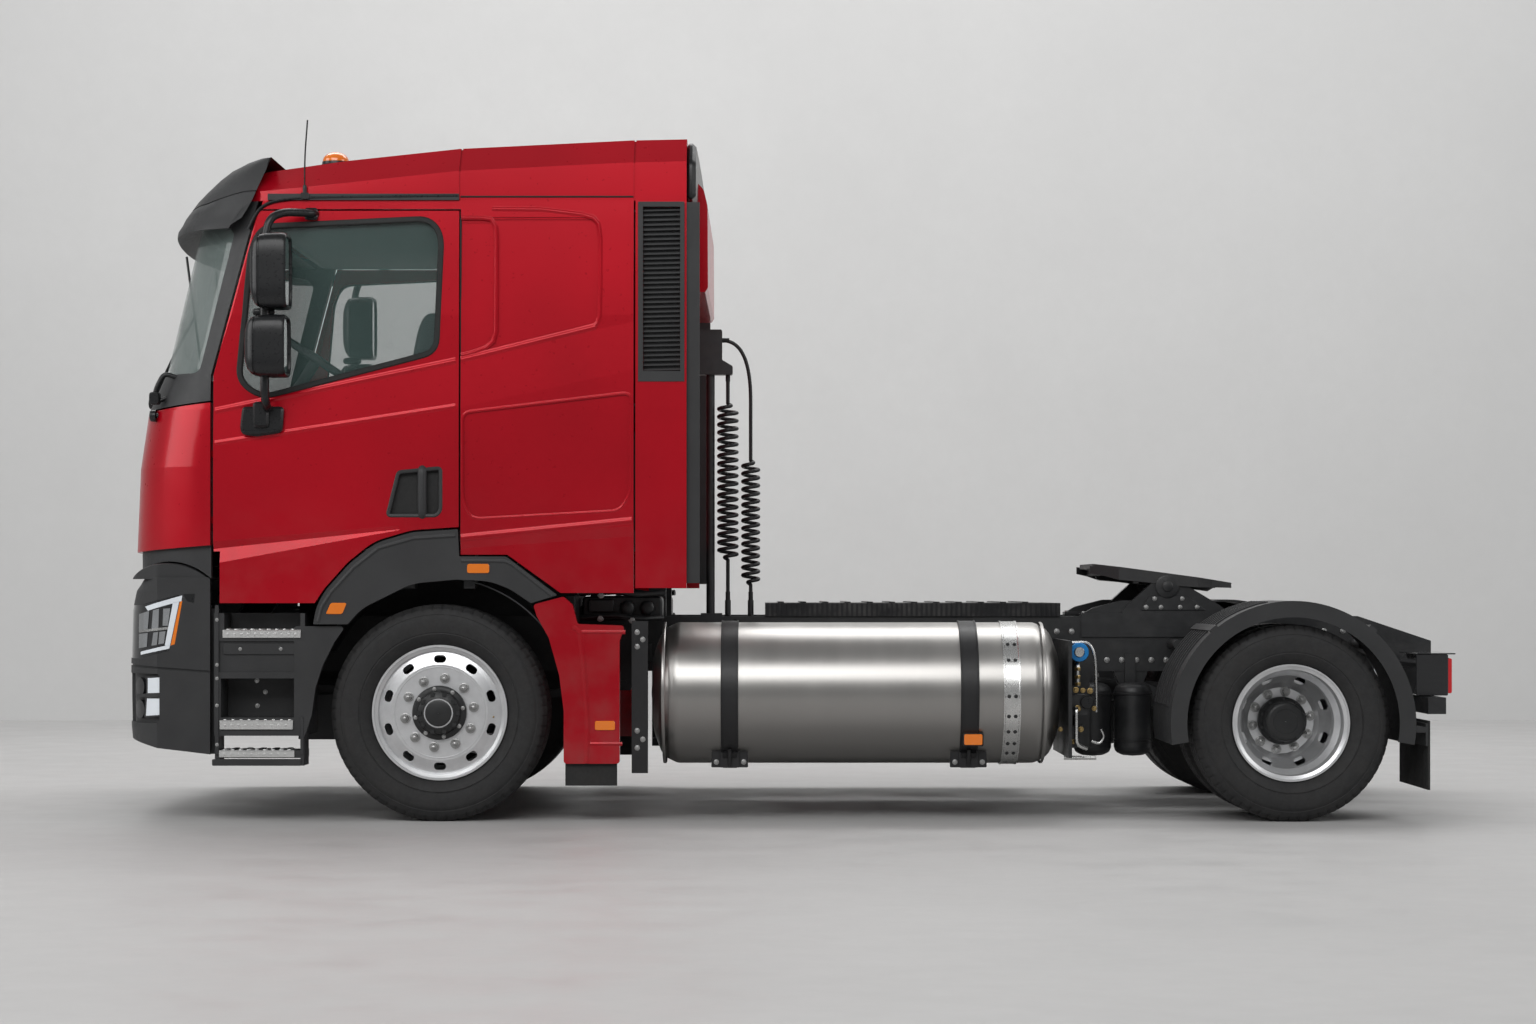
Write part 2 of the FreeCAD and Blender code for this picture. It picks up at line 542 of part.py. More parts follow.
def fender_band(inner, outer, y, start, end):
    """Part of a ring about the rear axle between two angles, degrees up from the rear."""
    x, z = WHEELBASE, REAR_TYRE_R
    a, b = math.radians(start), math.radians(end)
    mid = (a + b) / 2
    at = lambda r, t: V(x + r * math.cos(t), y[0], z + r * math.sin(t))
    wire = Part.Wire([Part.Arc(at(outer, a), at(outer, mid), at(outer, b)).toShape(),
                      Part.makeLine(at(outer, b), at(inner, b)),
                      Part.Arc(at(inner, b), at(inner, mid), at(inner, a)).toShape(),
                      Part.makeLine(at(inner, a), at(outer, a))])
    return Part.Face(wire).extrude(V(0, y[1] - y[0], 0))


def make_fenders():
    """Three-piece fenders over the twin wheels: round skin, outer and inner lips, ribs and arms."""
    skin = fender_band(*REAR_FENDER_R, left_y(*FENDER_Y), -10, 190)
    lip = fender_band(472, REAR_FENDER_R[1], left_y(HALF_WIDTH - 10, HALF_WIDTH), -10, 190)
    ribs = [fender_band(REAR_FENDER_R[1] - 2, REAR_FENDER_R[1] + 7, left_y(700 + 70 * i, 716 + 70 * i), 100, 172)
            for i in range(7)]
    joints = [fender_band(REAR_FENDER_R[1] - 2, REAR_FENDER_R[1] + 12, left_y(*FENDER_Y), a - 2, a + 2)
              for a in (50, 130)]
    tail = box((WHEELBASE + 530, WHEELBASE + 597.7), left_y(FENDER_Y[0] + 10, FENDER_Y[1] - 4), (400, 424))
    drop = box((WHEELBASE + 588, WHEELBASE + 597.7), left_y(FENDER_Y[0] + 10, FENDER_Y[1] - 4), (340, 440))
    arms = [rod((WHEELBASE + dx, -RAIL_Y, z), (WHEELBASE + dx, -660, z), 22)
            for dx, z in ((-430, 780), (430, 780))]
    return both(fused([skin, lip, tail, drop] + ribs + joints + arms))


LAMP_BOX = ((TAIL_X - 195, TAIL_X - 55), (640.0, 1010.0), (556.0, 742.0))


def make_tail():
    """Rear underrun beam with its hangers and number plate holder."""
    beam = box((TAIL_X - 175, TAIL_X - 95), (100 - HALF_WIDTH, HALF_WIDTH - 100), (478, 552))
    low = lambda x: RAIL_LOW + (TAIL_LOW - RAIL_LOW) * (x - TAPER_X + 150) / (TAIL_X - TAPER_X + 150) - SEAT_GAP
    front, back = TAIL_X - 165, TAIL_X - 105
    hangers = [side_prism([(front, 540), (back, 540), (back, low(back)), (front, low(front))],
                          sorted_pair(s * 360, s * 424)) for s in (-1, 1)]
    plate = box((TAIL_X - 95, TAIL_X - 91), (-260, 260), (460, 570))
    return fused([beam, plate] + hangers)


def make_tail_lamps():
    """Lamp boxes standing on the rear beam."""
    x, y, z = LAMP_BOX
    case = side_prism([(x[0], z[0]), (x[1], z[0]), (x[1], z[1]), (x[0] + 30, z[1]), (x[0], z[1] - 40)],
                      left_y(*y), 8)
    lenses = box((x[1] - 2, x[1] + 10), left_y(y[0] + 12, y[1] - 12), (z[0] + 22, z[1] - 16))
    foot = box((x[0] + 30, x[0] + 90), left_y(760, 880), (552, z[0] + 3))
    return both(fused([case, lenses, foot]))


# Hoses behind the cab
STAND_X, STAND_Y = 1195.0, -380.0
HEAD_Z = (2051.0, 2264.0)
COIL_1 = {"x": 1277.0, "low": 1175.0, "top": 1918.0, "radius": 50.0}
COIL_2 = {"x": 1385.0, "low": 1057.0, "top": 1648.0, "radius": 44.0}
HOSE_R = 6.0
FITTING_Z = (RAIL_TOP, 985.0)


def make_hose_stand():
    """Post on the left rail with the hose head and the lower fittings."""
    foot = box((1150, 1250), (-RAIL_Y, -350), (RAIL_TOP, 924))
    post = rod((STAND_X, STAND_Y, 920), (STAND_X, STAND_Y, HEAD_Z[1] - 40), 20)
    head = side_prism([(1135, HEAD_Z[0]), (1300, HEAD_Z[0]), (1300, HEAD_Z[0] + 40), (1250, HEAD_Z[0] + 70),
                       (1250, HEAD_Z[1]), (1135, HEAD_Z[1])], (STAND_Y - 35, STAND_Y + 35), 8)
    lower = [rod((c["x"], STAND_Y, FITTING_Z[0]), (c["x"], STAND_Y, FITTING_Z[1]), 14) for c in (COIL_1, COIL_2)]
    return [fused([foot, post, head] + [lower[0].common(box((1000, 1500), (-600, 0), (900, 2000)))]), lower[1]]


def make_lead(points):
    """Hose along straight runs joined by tangent arcs."""
    edges = []
    last = V(*points[0])
    for a, b, c in zip(points, points[1:], points[2:]):
        before, after = V(*a) - V(*b), V(*c) - V(*b)
        half = before.getAngle(after) / 2
        reach = 0.45 * min(before.Length, after.Length)
        r = reach * math.tan(half)
        before.normalize()
        after.normalize()
        middle = before + after
        middle.normalize()
        start, end = V(*b) + before * reach, V(*b) + after * reach
        edges += [Part.makeLine(last, start),
                  Part.Arc(start, V(*b) + middle * (r / math.sin(half) - r), end).toShape()]
        last = end
    edges.append(Part.makeLine(last, V(*points[-1])))
    path = Part.Wire(edges)
    run = V(*points[1]) - V(*points[0])
    ring = Part.Wire([Part.makeCircle(HOSE_R, V(*points[0]), run)])
    return path.makePipeShell([ring], True, False)


def make_hose_coil(coil):
    """Outer form of a curly hose hanging straight down."""
    return rod((coil["x"], STAND_Y, coil["low"]), (coil["x"], STAND_Y, coil["top"]), coil["radius"])


def make_hose_leads(coil, upper):
    """Plain ends of a curly hose: from the head to the coil, and down to its fitting."""
    lower = rod((coil["x"], STAND_Y, FITTING_Z[1]), (coil["x"], STAND_Y, coil["low"]), HOSE_R)
    return Part.makeCompound([make_lead(upper) if len(upper) > 2 else rod(upper[0], upper[1], HOSE_R), lower])


# Wheels: profiles are (radius, distance out from the wheel's inner edge)
FRONT_TYRE = [(287.3, 52), (304, 48), (345, 6), (400, 0), (462, 12), (485, 50), (485, 265), (462, 303),
              (400, 315), (345, 309), (304, 267), (287.3, 263)]
REAR_TYRE = [(247.3, 52), (264, 46), (300, 6), (350, 0), (418, 12), (440, 45), (440, 245), (418, 278),
             (350, 290), (300, 284), (264, 244), (247.3, 238)]
FRONT_BARREL = [(302, 35), (302, 44), (287, 50), (287, 82), (254, 106), (254, 172), (282, 205), (287, 225),
                (287, 265), (302, 271), (302, 281), (293, 281), (291, 274), (277, 266), (278, 226), (273, 208),
                (245, 176), (245, 102), (278, 78), (278, 46), (293, 39), (294, 35)]
FRONT_DISC = [(282, 252), (250, 262), (215, 276), (108, 276), (108, 262), (210, 262), (245, 248), (280, 236)]
REAR_BARREL = [(262, 28), (262, 37), (247, 43), (247, 75), (219, 98), (219, 150), (243, 180), (247, 198),
               (247, 240), (262, 247), (262, 258), (254, 258), (253, 250), (238, 243), (238, 200), (234, 184),
               (210, 156), (210, 92), (238, 70), (238, 38), (253, 31), (254, 28)]
REAR_HUB = [(0, 152), (98, 152), (106, 160), (106, 385), (90, 400), (84, 455), (70, 462), (0, 462)]
REAR_DISC = [(216, 104), (196, 60), (172, 2), (150, -14.5), (104, -14.5), (104, -27.5), (156, -27.5), (183, -8),
             (206, 46), (216, 84)]


def wheel_profile(profile, inner_y, outward=-1, flip=False):
    """Profile placed on the left wheel; flip turns it to face the vehicle's middle."""
    width = REAR_INNER_Y[1] - REAR_INNER_Y[0]
    return [(r, outward * (inner_y + (width - w if flip else w))) for r, w in profile]


def oval_y(x, z, reach, angle, half_length, radius, y):
    """Oval bar along Y at a distance reach from the wheel centre, long side tangential."""
    slot = side_prism([(-half_length, -radius), (half_length, -radius), (half_length, radius),
                       (-half_length, radius)], y, radius - 0.2)
    slot.translate(V(0, 0, reach))
    slot.rotate(V(0, 0, 0), V(0, 1, 0), angle)
    slot.translate(V(x, 0, z))
    return slot


def make_front_tyre():
    """Steer tyre as a plain ring on the rim."""
    return turned(wheel_profile(FRONT_TYRE, FRONT_WHEEL_Y[0]), 0, FRONT_TYRE_R)


def make_front_rim():
    """Steer wheel rim with its disc, hand holes, hub and cap."""
    y, z = FRONT_WHEEL_Y[0], FRONT_TYRE_R
    barrel = turned(wheel_profile(FRONT_BARREL, y), 0, z)
    disc = turned(wheel_profile(FRONT_DISC, y), 0, z)
    hub = turned(wheel_profile([(0, 180), (112, 180), (118, 186), (118, 292), (96, 300), (90, 322), (70, 332),
                                (0, 332)], y), 0, z)
    holes = [oval_y(0, z, 240, 360 / HAND_HOLE_FRONT * i, 27, 17, left_y(y + 225, y + 290))
             for i in range(HAND_HOLE_FRONT)]
    bore = rod((0, -y - 170, z), (0, -y - 254, z), SPINDLE_R + BEARING_GAP)
    return fused([barrel, disc, hub]).cut(Part.makeCompound(holes)).cut(bore)


def make_rear_tyres():
    """Twin drive tyres, one ring for each rim."""
    outer = turned(wheel_profile(REAR_TYRE, REAR_OUTER_Y[0]), WHEELBASE, REAR_TYRE_R)
    inner = turned(wheel_profile(REAR_TYRE, REAR_INNER_Y[0]), WHEELBASE, REAR_TYRE_R)
    return Part.makeCompound([outer, inner])


def make_rear_rims():
    """Twin rims bolted back to back on one hub."""
    x, z = WHEELBASE, REAR_TYRE_R
    parts = []
    for inner_y, flip in ((REAR_OUTER_Y[0], False), (REAR_INNER_Y[0], True)):
        parts.append(turned(wheel_profile(REAR_BARREL, inner_y, -1, flip), x, z))
        parts.append(turned(wheel_profile(REAR_DISC, inner_y, -1, flip), x, z))
    through = left_y(REAR_OUTER_Y[0] + 20, REAR_OUTER_Y[0] + 95)
    holes = [oval_y(x, z, 196, 360 / HAND_HOLE_REAR * (i + 0.5), 26, 15, through)
             for i in range(HAND_HOLE_REAR)]
    y = REAR_INNER_Y[0]
    hub = turned([(r, -y - out) for r, out in REAR_HUB], x, z)
    bore = rod((x, -y - 145, z), (x, -y - 424, z), SPINDLE_R + BEARING_GAP)
    return fused(parts + [hub]).cut(Part.makeCompound(holes)).cut(bore)


def make_knuckle():
    """Steering knuckle: forked ears on the kingpin, web, back plate, spindle and steering arm."""
    z = FRONT_TYRE_R
    y = KINGPIN_Y
    ears = [box((-55, 55), left_y(y - 58, y + 76), span) for span in ((372, 419), (551, 602))]
    web = box((-55, 55), left_y(y + 70, y + 100), (372, 602))
    plate = rod((0, -y - 78, z), (0, -y - 118, z), 190)
    spindle = rod((0, -y - 110, z), (0, -y - 205, z), SPINDLE_R)
    arm = side_prism([(40, 376), (225, 384), (236, 400), (225, 416), (40, 414)], left_y(y - 25, y + 15), 0)
    body = fused(ears + [web, plate, spindle, arm])
    return body.cut(rod((0, -KINGPIN_Y, 300), (0, -KINGPIN_Y, 700), 24 + BEARING_GAP))


# Cab: levels are (z, nose x, side start x, half width, corner rise)
CAB_LEVELS = ((960, -1480, -1005, HALF_WIDTH, 75), (1190, -1482, -1005, HALF_WIDTH, 75),
              (1582, -1466, -1005, HALF_WIDTH, 75), (1837, -1428, -1000, HALF_WIDTH, 65),
              (2017, -1348, -979, HALF_WIDTH - 2, 45), (2700, -1184, -801, HALF_WIDTH - 22, 40),
              (EAVE_Z, -1168, -784, HALF_WIDTH - 24, 40))
SHOULDER_IN = 350.0         # from the side to where the bowed front ends
ROOF_LEVELS = ((-1200, 2786), (-1000, 2850), (-756, 2914), (-410, 2964), (84, 3017), (856, 3055),
               (CAB_REAR_X, 3060))      # (x, height beside the crown)
NECK_INSET = (22.0, 62.0)
FRONT_SIDE = [(-1600, 1190), (-1009, 1232), (-1009, 1866), (-1600, 1812)]
FRAME_SIDE = [(-1600, 1820), (-1009, 1874), (-1009, 1985), (-812, 2727), (-800, EAVE_Z), (-1600, EAVE_Z)]
NECK_SIDE = [(-1600, 1054), (-1009, 1054), (-1009, 1232), (-1600, 1190)]
SCREEN_SIDE = [(-1600, 2012), (-1068, 2000), (-908, 2655), (-1600, 2700)]
DOOR_SIDE = [(-996, 1205), (-996, 1987), (-801, 2719), (DOOR_REAR_X, 2719), (DOOR_REAR_X, 1313), (-113, 1299),
             (-282, 1250), (-398, 1157), (-505, 1037), (-545, DOOR_BOTTOM_Z), (-967, DOOR_BOTTOM_Z), (-967, 1205)]
DOOR_ROUND = [0, 0, 0, 0, 0, 260, 260, 260, 260, 0, 0, 0]
WINDOW_SIDE = [(-823, 2542), (-778, 2640), (-42, 2675), (7, 2608), (-15, 2098), (-778, 1898), (-876, 1965)]
SLEEPER_SIDE = [(102, 1190), (309, 1190), (545, SLEEPER_BOTTOM_Z), (SLEEPER_REAR_X, SLEEPER_BOTTOM_Z),
                (SLEEPER_REAR_X, EAVE_Z), (-779, EAVE_Z), (-788, 2727), (102, 2727)]
CORNER_X = (878.0, CAB_REAR_X)
FLARE_SIDE = [(-552, 881), (-538, 960), (-497, 1032), (-391, 1150), (-276, 1242), (-110, 1290), (90, 1303),
              (96, 1182), (304, 1182), (532, 1010), (415, 975), (322, 1037), (234, 1072), (86, 1080), (-113, 1062),
              (-339, 950), (-400, 881)]
ARC = 260.0                 # rounding of the corners along an arch, which joins its straight runs
FLARE_ROUND = [4, ARC, ARC, ARC, ARC, ARC, 4, 4, 30, 4, 4, ARC, ARC, ARC, ARC, ARC, 4]
FLARE_Y = (HALF_WIDTH - 54, HALF_WIDTH)
LOUVRE_X, LOUVRE_Z = (912.0, 1077.0), (2005.0, 2735.0)
LOUVRE_COUNT = 34
LINER_R = (600.0, 606.0)


def cab_plan(level, inset, rear=None):
    """Plan outline of the cab at one of its levels, drawn in by inset."""
    z, nose, side_x, half, bulge = level
    shoulder = (nose + 75 + inset, HALF_WIDTH - SHOULDER_IN - inset / 3)
    return plan_wire(z, nose + inset, shoulder, side_x + inset * 0.4, half - inset, rear or CAB_REAR_X - inset, bulge)


def cab_form(inset, rear=None):
    """Outer form of the cab's walls, drawn in by inset; rear sets another back plane."""
    wires = [cab_plan(level, inset, rear) for level in CAB_LEVELS]
    return Part.makeLoft(wires, True, True)


def roof_form(inset):
    """Outer form of the roof above the eaves, drawn in by inset."""
    wires = []
    half = CAB_LEVELS[-1][3] - inset
    for x, top in ROOF_LEVELS:
        fall = min(120, 0.7 * (top - EAVE_Z)) - inset * 0.3
        ridge = max(top - inset, EAVE_Z + 6)
        fall = min(max(fall, 3), ridge - EAVE_Z - 2)
        right = [(half - 95, ridge - fall * 0.07), (half - 3, ridge - fall), (half, EAVE_Z - 1)]
        points = [(-y, z) for y, z in reversed(right)] + [(0, ridge + 14)] + right
        wires.append(Part.makePolygon([V(x, y, z) for y, z in points + points[:1]]))
    loft = Part.makeLoft(wires, True, True)
    return loft.common(Part.Face(cab_plan(CAB_LEVELS[-1], inset)).extrude(V(0, 0, 500)))


CAB_SHELL = cab_form(0).cut(cab_form(WALL))


SHOULDER_X = (-1000.0, 874.0)
SHOULDER_LOW = (1684.0, 1955.0)     # height at both x where the side starts to slope in
SHOULDER_TOP = (1828.0, 2226.0)     # height at both x where the slope ends
SHOULDER_DEPTH = 9.0
SILL_X = (-1000.0, -170.0)
SILL_LINES = ((1250.0, 1215.0, 1144.0), (1325.0, 1303.0, 1296.0))   # fold's upper edge, bottom and lower edge
SILL_DEPTH = (15.0, 2.0)
SKIRT_TOP = (1262.0, 1318.0)
SKIRT_DEPTH = 10.0
EMBOSS_DRAFT = 9.0
UPPER_FIELD = [(80, 2690), (724, 2690), (724, 2222), (80, 2050)]
UPPER_STEP = [(80, 2676), (260, 2676), (260, 2164), (80, 2066)]
LOWER_FIELD = [(109, 1822), (859, 1911), (859, 1468), (810, 1385), (171, 1349), (140, 1367), (109, 1440)]


def section_loft(sections):
    """Solid between two outlines of (y, z) points that stand at two x places."""
    return Part.makeLoft([Part.makePolygon([V(x, y, z) for y, z in points + points[:1]])
                          for x, points in sections], True, True)


def relieved(shape):
    """Left side form: a sloping shoulder, the fold above the sill and the set-in skirt."""
    h = HALF_WIDTH
    shoulder = section_loft([(x, [(-h - 12, low), (-h, low), (-h + SHOULDER_DEPTH, top),
                                  (-h + SHOULDER_DEPTH, 2320), (-h - 12, 2320)])
                             for x, low, top in zip(SHOULDER_X, SHOULDER_LOW, SHOULDER_TOP)])
    sill = section_loft([(x, [(-h - 1, lines[0]), (-h + deep, lines[1]), (-h - 1, lines[2])])
                         for x, lines, deep in zip(SILL_X, SILL_LINES, SILL_DEPTH)])
    skirt = section_loft([(x, [(-h - 12, top), (-h, top), (-h + SKIRT_DEPTH, top - 46), (-h + SKIRT_DEPTH, 1000),
                               (-h - 12, 1000)]) for x, top in zip((98, 874), SKIRT_TOP)])
    return shape.cut(Part.makeCompound([shoulder, sill])).cut(skirt)


def beside(deep):
    """Space to the left of the cab's side, deep further in than its surface."""
    line = [(deep - half, z) for z, nose, side_x, half, bulge in CAB_LEVELS]
    return front_prism(line + [(-HALF_WIDTH - 150, EAVE_Z), (-HALF_WIDTH - 150, CAB_LEVELS[0][0])],
                       (-1000, CAB_REAR_X))


def pressed(shape, points, depth, radius):
    """The shape with a field of its outer side pressed in, in two steps along a drafted edge."""
    face = Part.Face(Part.Wire(corner_edges(points, radius, lambda u, v: V(u, -1400, v))))
    for deep, draw in ((depth / 2, 0.0), (depth, EMBOSS_DRAFT)):
        area = (face.makeOffset2D(-draw) if draw else face).extrude(V(0, 300, 0))
        shape = shape.cut(area.common(beside(deep)))
    return shape


def tilt_sweep(radius, y=FULL):
    """Round bar on the tilt hinge's line."""
    return rod((TILT_X, y[0], TILT_Z), (TILT_X, y[1], TILT_Z), radius)


def hinge_pin(z, radius):
    """Upright bar on the line of the left door's hinges."""
    return rod((HINGE_X, -HINGE_Y, z - HINGE_LUG_HALF - 32), (HINGE_X, -HINGE_Y, z + HINGE_LUG_HALF + 32), radius)


def make_hinge(z):
    """Lug on the left front corner's inner side that carries a hinge pin."""
    tall = (z - HINGE_LUG_HALF, z + HINGE_LUG_HALF)
    plate = box((HINGE_X - 70, HINGE_X + HINGE_LUG_R), left_y(HALF_WIDTH - 55, HALF_WIDTH - 43), tall)
    arm = box((HINGE_X - HINGE_LUG_R, HINGE_X + HINGE_LUG_R), left_y(HALF_WIDTH - 53, HINGE_Y), tall)
    knuckle = rod((HINGE_X, -HINGE_Y, tall[0]), (HINGE_X, -HINGE_Y, tall[1]), HINGE_LUG_R)
    return [plate, arm, knuckle, hinge_pin(z, HINGE_PIN_R)]


def make_cab_front():
    """Painted front and corner panel under the windscreen with grille ledges and door hinge lugs."""
    panel = CAB_SHELL.common(side_prism(FRONT_SIDE, FULL))
    hinges = make_hinge(HINGE_Z[0]) + make_hinge(HINGE_Z[1])
    panel = fused([panel] + hinges + [mirrored(piece) for piece in hinges])
    grooves = cab_form(0).cut(cab_form(12)).common(
        Part.makeCompound([box((-1600, -1300), (-760, 760), (z, z + 22)) for z in (1300, 1420, 1540)]))
    return panel.cut(grooves)


def make_neck():
    """Black lower edge of the cab's nose, hollowed round the tilt hinge."""
    band = cab_form(NECK_INSET[0]).cut(cab_form(NECK_INSET[1]))
    return band.common(side_prism(NECK_SIDE, FULL)).cut(tilt_sweep(CAB_SWEEP_R))


def make_screen_frame():
    """Black windscreen surround: lower band, pillars and header."""
    return CAB_SHELL.common(side_prism(FRAME_SIDE, FULL)).cut(side_prism(SCREEN_SIDE, FULL, 45))


def make_windscreen():
    """Bowed windscreen set in its surround."""
    pane = cab_form(4).cut(cab_form(12))
    return pane.common(side_prism([(-1600, 2012.3), (-1068.3, 2000.3), (-908.4, 2654.7), (-1600, 2699.7)], FULL,
                                  45 - SEAT_GAP))


def make_side_panels():
    """Sleeper walls behind the doors with the rails above them."""
    wall = relieved(CAB_SHELL.common(side_prism(SLEEPER_SIDE, left_y(*SIDE))))
    wall = pressed(wall, UPPER_FIELD, 13, [4, 45, 60, 4])
    wall = pressed(wall, UPPER_STEP, 17, [4, 40, 50, 4])
    return both(pressed(wall, LOWER_FIELD, 7, 26))


def make_rear_corners():
    """Rear corner panels with their louvre openings."""
    block = cab_form(0).common(box(CORNER_X, left_y(*SIDE), (1042, EAVE_Z)))
    wall = block.cut(cab_form(WALL, CAB_REAR_X + 10))
    return both(wall.cut(box(LOUVRE_X, left_y(*SIDE), LOUVRE_Z)))


BULGE_HALF = 780.0          # half of the width of the rear wall's bulge


def make_rear_wall():
    """Rear wall of the sleeper between the corner panels, with the bulge behind the upper bunk."""
    inside = cab_form(WALL + SEAT_GAP, CAB_REAR_X)
    wall = inside.common(box((CAB_REAR_X - WALL, CAB_REAR_X), FULL, (CAB_FLOOR_LOW, EAVE_Z)))
    x = CAB_REAR_X
    bulge = side_prism([(x - 5, 2404), (x + 74, 2404), (x + 86, 2424), (x + 84, 2800), (x + 66, 2876), (x + 30, 2912),
                        (x - 5, 2918)], (-BULGE_HALF, BULGE_HALF), [4, 4, 12, 60, 60, 30, 4])
    bulge = bulge.cut(box((0, x + SEAT_GAP), FULL, (EAVE_Z - SEAT_GAP, 3200)))
    return fused([wall, bulge])


TILT_ARM = [(190, 330), (165, 262), (146, 218), (70, 110), (0, 62), (-40, 45), (-58, -22), (-22, -60),
            (30, -60), (110, -20), (215, 110)]      # outline of a tilt arm, from the hinge's middle


def make_cab_floor():
    """Floor slab inside the walls, with the ears that carry the cab on the tilt hinge."""
    slab = cab_form(WALL + SEAT_GAP).common(box((-1500, CAB_REAR_X - WALL), FULL, (CAB_FLOOR_LOW, CAB_FLOOR_TOP)))
    for s in (-1, 1):
        slab = slab.cut(box((-1020, 320), sorted_pair(s * (HALF_WIDTH - 60), s * SIDE[1]), (1000, 1500)))
    ears = []
    for s in (-1, 1):
        y = sorted_pair(s * EAR_Y[0], s * EAR_Y[1])
        ears.append(side_prism([(TILT_X + dx, TILT_Z + dz) for dx, dz in TILT_ARM]
                               + [(TILT_X + 290, CAB_FLOOR_LOW + 5), (TILT_X + 190, CAB_FLOOR_LOW + 5)], y, 18))
    return fused([slab] + ears).cut(tilt_sweep(TILT_TUBE_R + BEARING_GAP))


ROOF_SEAM_X = (DOOR_REAR_X, SLEEPER_REAR_X)


def make_roof():
    """High roof shell standing on the walls."""
    low = box((-1600, 1600), FULL, (EAVE_Z - 50, EAVE_Z))
    seams = [box((x, x + PANEL_GAP), FULL, (EAVE_Z, 3200)).cut(roof_form(5)) for x in ROOF_SEAM_X]
    return roof_form(0).cut(roof_form(WALL)).cut(low).cut(Part.makeCompound(seams))


VISOR_REAR_X = -760.0


def make_visor():
    """Sun visor over the windscreen, wrapped round the roof's front corners."""
    profile = side_prism([(-1345, 2672), (-1110, 2690), (-884, 2690), (-832, 2772), (VISOR_REAR_X, 2772),
                          (VISOR_REAR_X, 2938),
                          (-1000, 2892), (-1235, 2800), (-1345, 2700)], FULL, 10)
    wire = plan_wire(2600, -1341, (-1262, HALF_WIDTH - 390), -850, HALF_WIDTH - 10, -740, 62)
    plan = Part.Face(wire).extrude(V(0, 0, 500))
    outside = fused([cab_form(-SEAT_GAP), roof_form(-SEAT_GAP)])
    return profile.common(plan).cut(outside)


def arch(inner, outer, y, start, end):
    """Part of a ring about the front axle between two angles."""
    band = fender_band(inner, outer, y, start, end)
    band.translate(V(-WHEELBASE, 0, FRONT_TYRE_R - REAR_TYRE_R))
    return band


def make_flares():
    """Arch flares of the cab with the liners and hangers behind them."""
    flare = side_prism(FLARE_SIDE, left_y(*FLARE_Y), FLARE_ROUND)
    liner = arch(*LINER_R, left_y(660, FLARE_Y[0] + 1), 26, 154)
    hanger = [box((x, x + 50), left_y(HALF_WIDTH - 210, HALF_WIDTH - 70), (1040, CAB_FLOOR_LOW))
              for x in (-160, 110)]
    return both(fused([flare, liner] + hanger))


def make_cab_trim():
    """Black trims: eave strips, rear edge strips and the louvre frames with their slats."""
    eave = box((VISOR_REAR_X + 4, 94), left_y(HALF_WIDTH - 23.7, HALF_WIDTH - 12), (EAVE_Z + 2, EAVE_Z + 30))
    edge = box((CAB_REAR_X, 1163), left_y(HALF_WIDTH - 40, HALF_WIDTH - 26), (1064, EAVE_Z - 6))
    frame = box((LOUVRE_X[0] - 22, LOUVRE_X[1] + 19), left_y(HALF_WIDTH - 26, HALF_WIDTH + 2),
                (LOUVRE_Z[0] - 46, LOUVRE_Z[1] + 22))
    frame = frame.cut(box(LOUVRE_X, left_y(*SIDE), LOUVRE_Z)).cut(cab_form(-SEAT_GAP))
    pitch = (LOUVRE_Z[1] - LOUVRE_Z[0]) / LOUVRE_COUNT
    front, back = LOUVRE_X[0] + SEAT_GAP, LOUVRE_X[1] - SEAT_GAP
    slats = [side_prism([(front, low + 2), (back, low + 6), (back, low + 13), (front, low + 9)],
                        left_y(HALF_WIDTH - 38, HALF_WIDTH - 16), 0)
             for low in (LOUVRE_Z[0] + pitch * i for i in range(LOUVRE_COUNT))]
    spine = box((front, back), left_y(HALF_WIDTH - 41, HALF_WIDTH - 37),
                (LOUVRE_Z[0] + SEAT_GAP, LOUVRE_Z[1] - SEAT_GAP))
    return Part.makeCompound([both(eave), both(edge), both(frame), both(fused([spine] + slats))])


def make_dashboard():
    """Dashboard across the cab with the steering column and wheel."""
    desk = side_prism([(-1330, CAB_FLOOR_TOP), (-1000, CAB_FLOOR_TOP), (-960, 1500), (-860, 1700), (-850, 1880),
                       (-950, 1960), (-1290, 1985), (-1330, 1900)], (62 - HALF_WIDTH, HALF_WIDTH - 62), 30)
    desk = desk.common(cab_form(WALL + SEAT_GAP))
    hub = V(-640, -560, 2110)
    ring = Part.makeTorus(222, 15, hub, V(0.55, 0, 0.83))
    column = rod((-640, -560, 2110), (-900, -560, 1720), 26)
    boss = Part.makeCylinder(60, 30, hub - V(0.55, 0, 0.83) * 10, V(0.55, 0, 0.83))
    spokes = [rod((-640, -560 - 215 * s, 2110), (-640, -560, 2110), 13) for s in (-1, 1)]
    return fused([desk, ring, column, boss] + spokes)


def make_seats():
    """Driver's and passenger's seats."""
    parts = []
    for y in (-560, 560):
        base = box((-520, -160), (y - 170, y + 170), (CAB_FLOOR_TOP, 1600))
        cushion = side_prism([(-640, 1660), (-600, 1590), (-90, 1590), (-60, 1740), (-600, 1760)],
                             (y - 240, y + 240), 40)
        back = side_prism([(-190, 1700), (-70, 1690), (20, 2300), (-20, 2330), (-100, 2310)],
                          (y - 235, y + 235), 40)
        head = side_prism([(-95, 2300), (10, 2290), (10, 2440), (-70, 2460)], (y - 120, y + 120), 35)
        parts.append(fused([base, cushion, back, head]))
    return Part.makeCompound(parts)


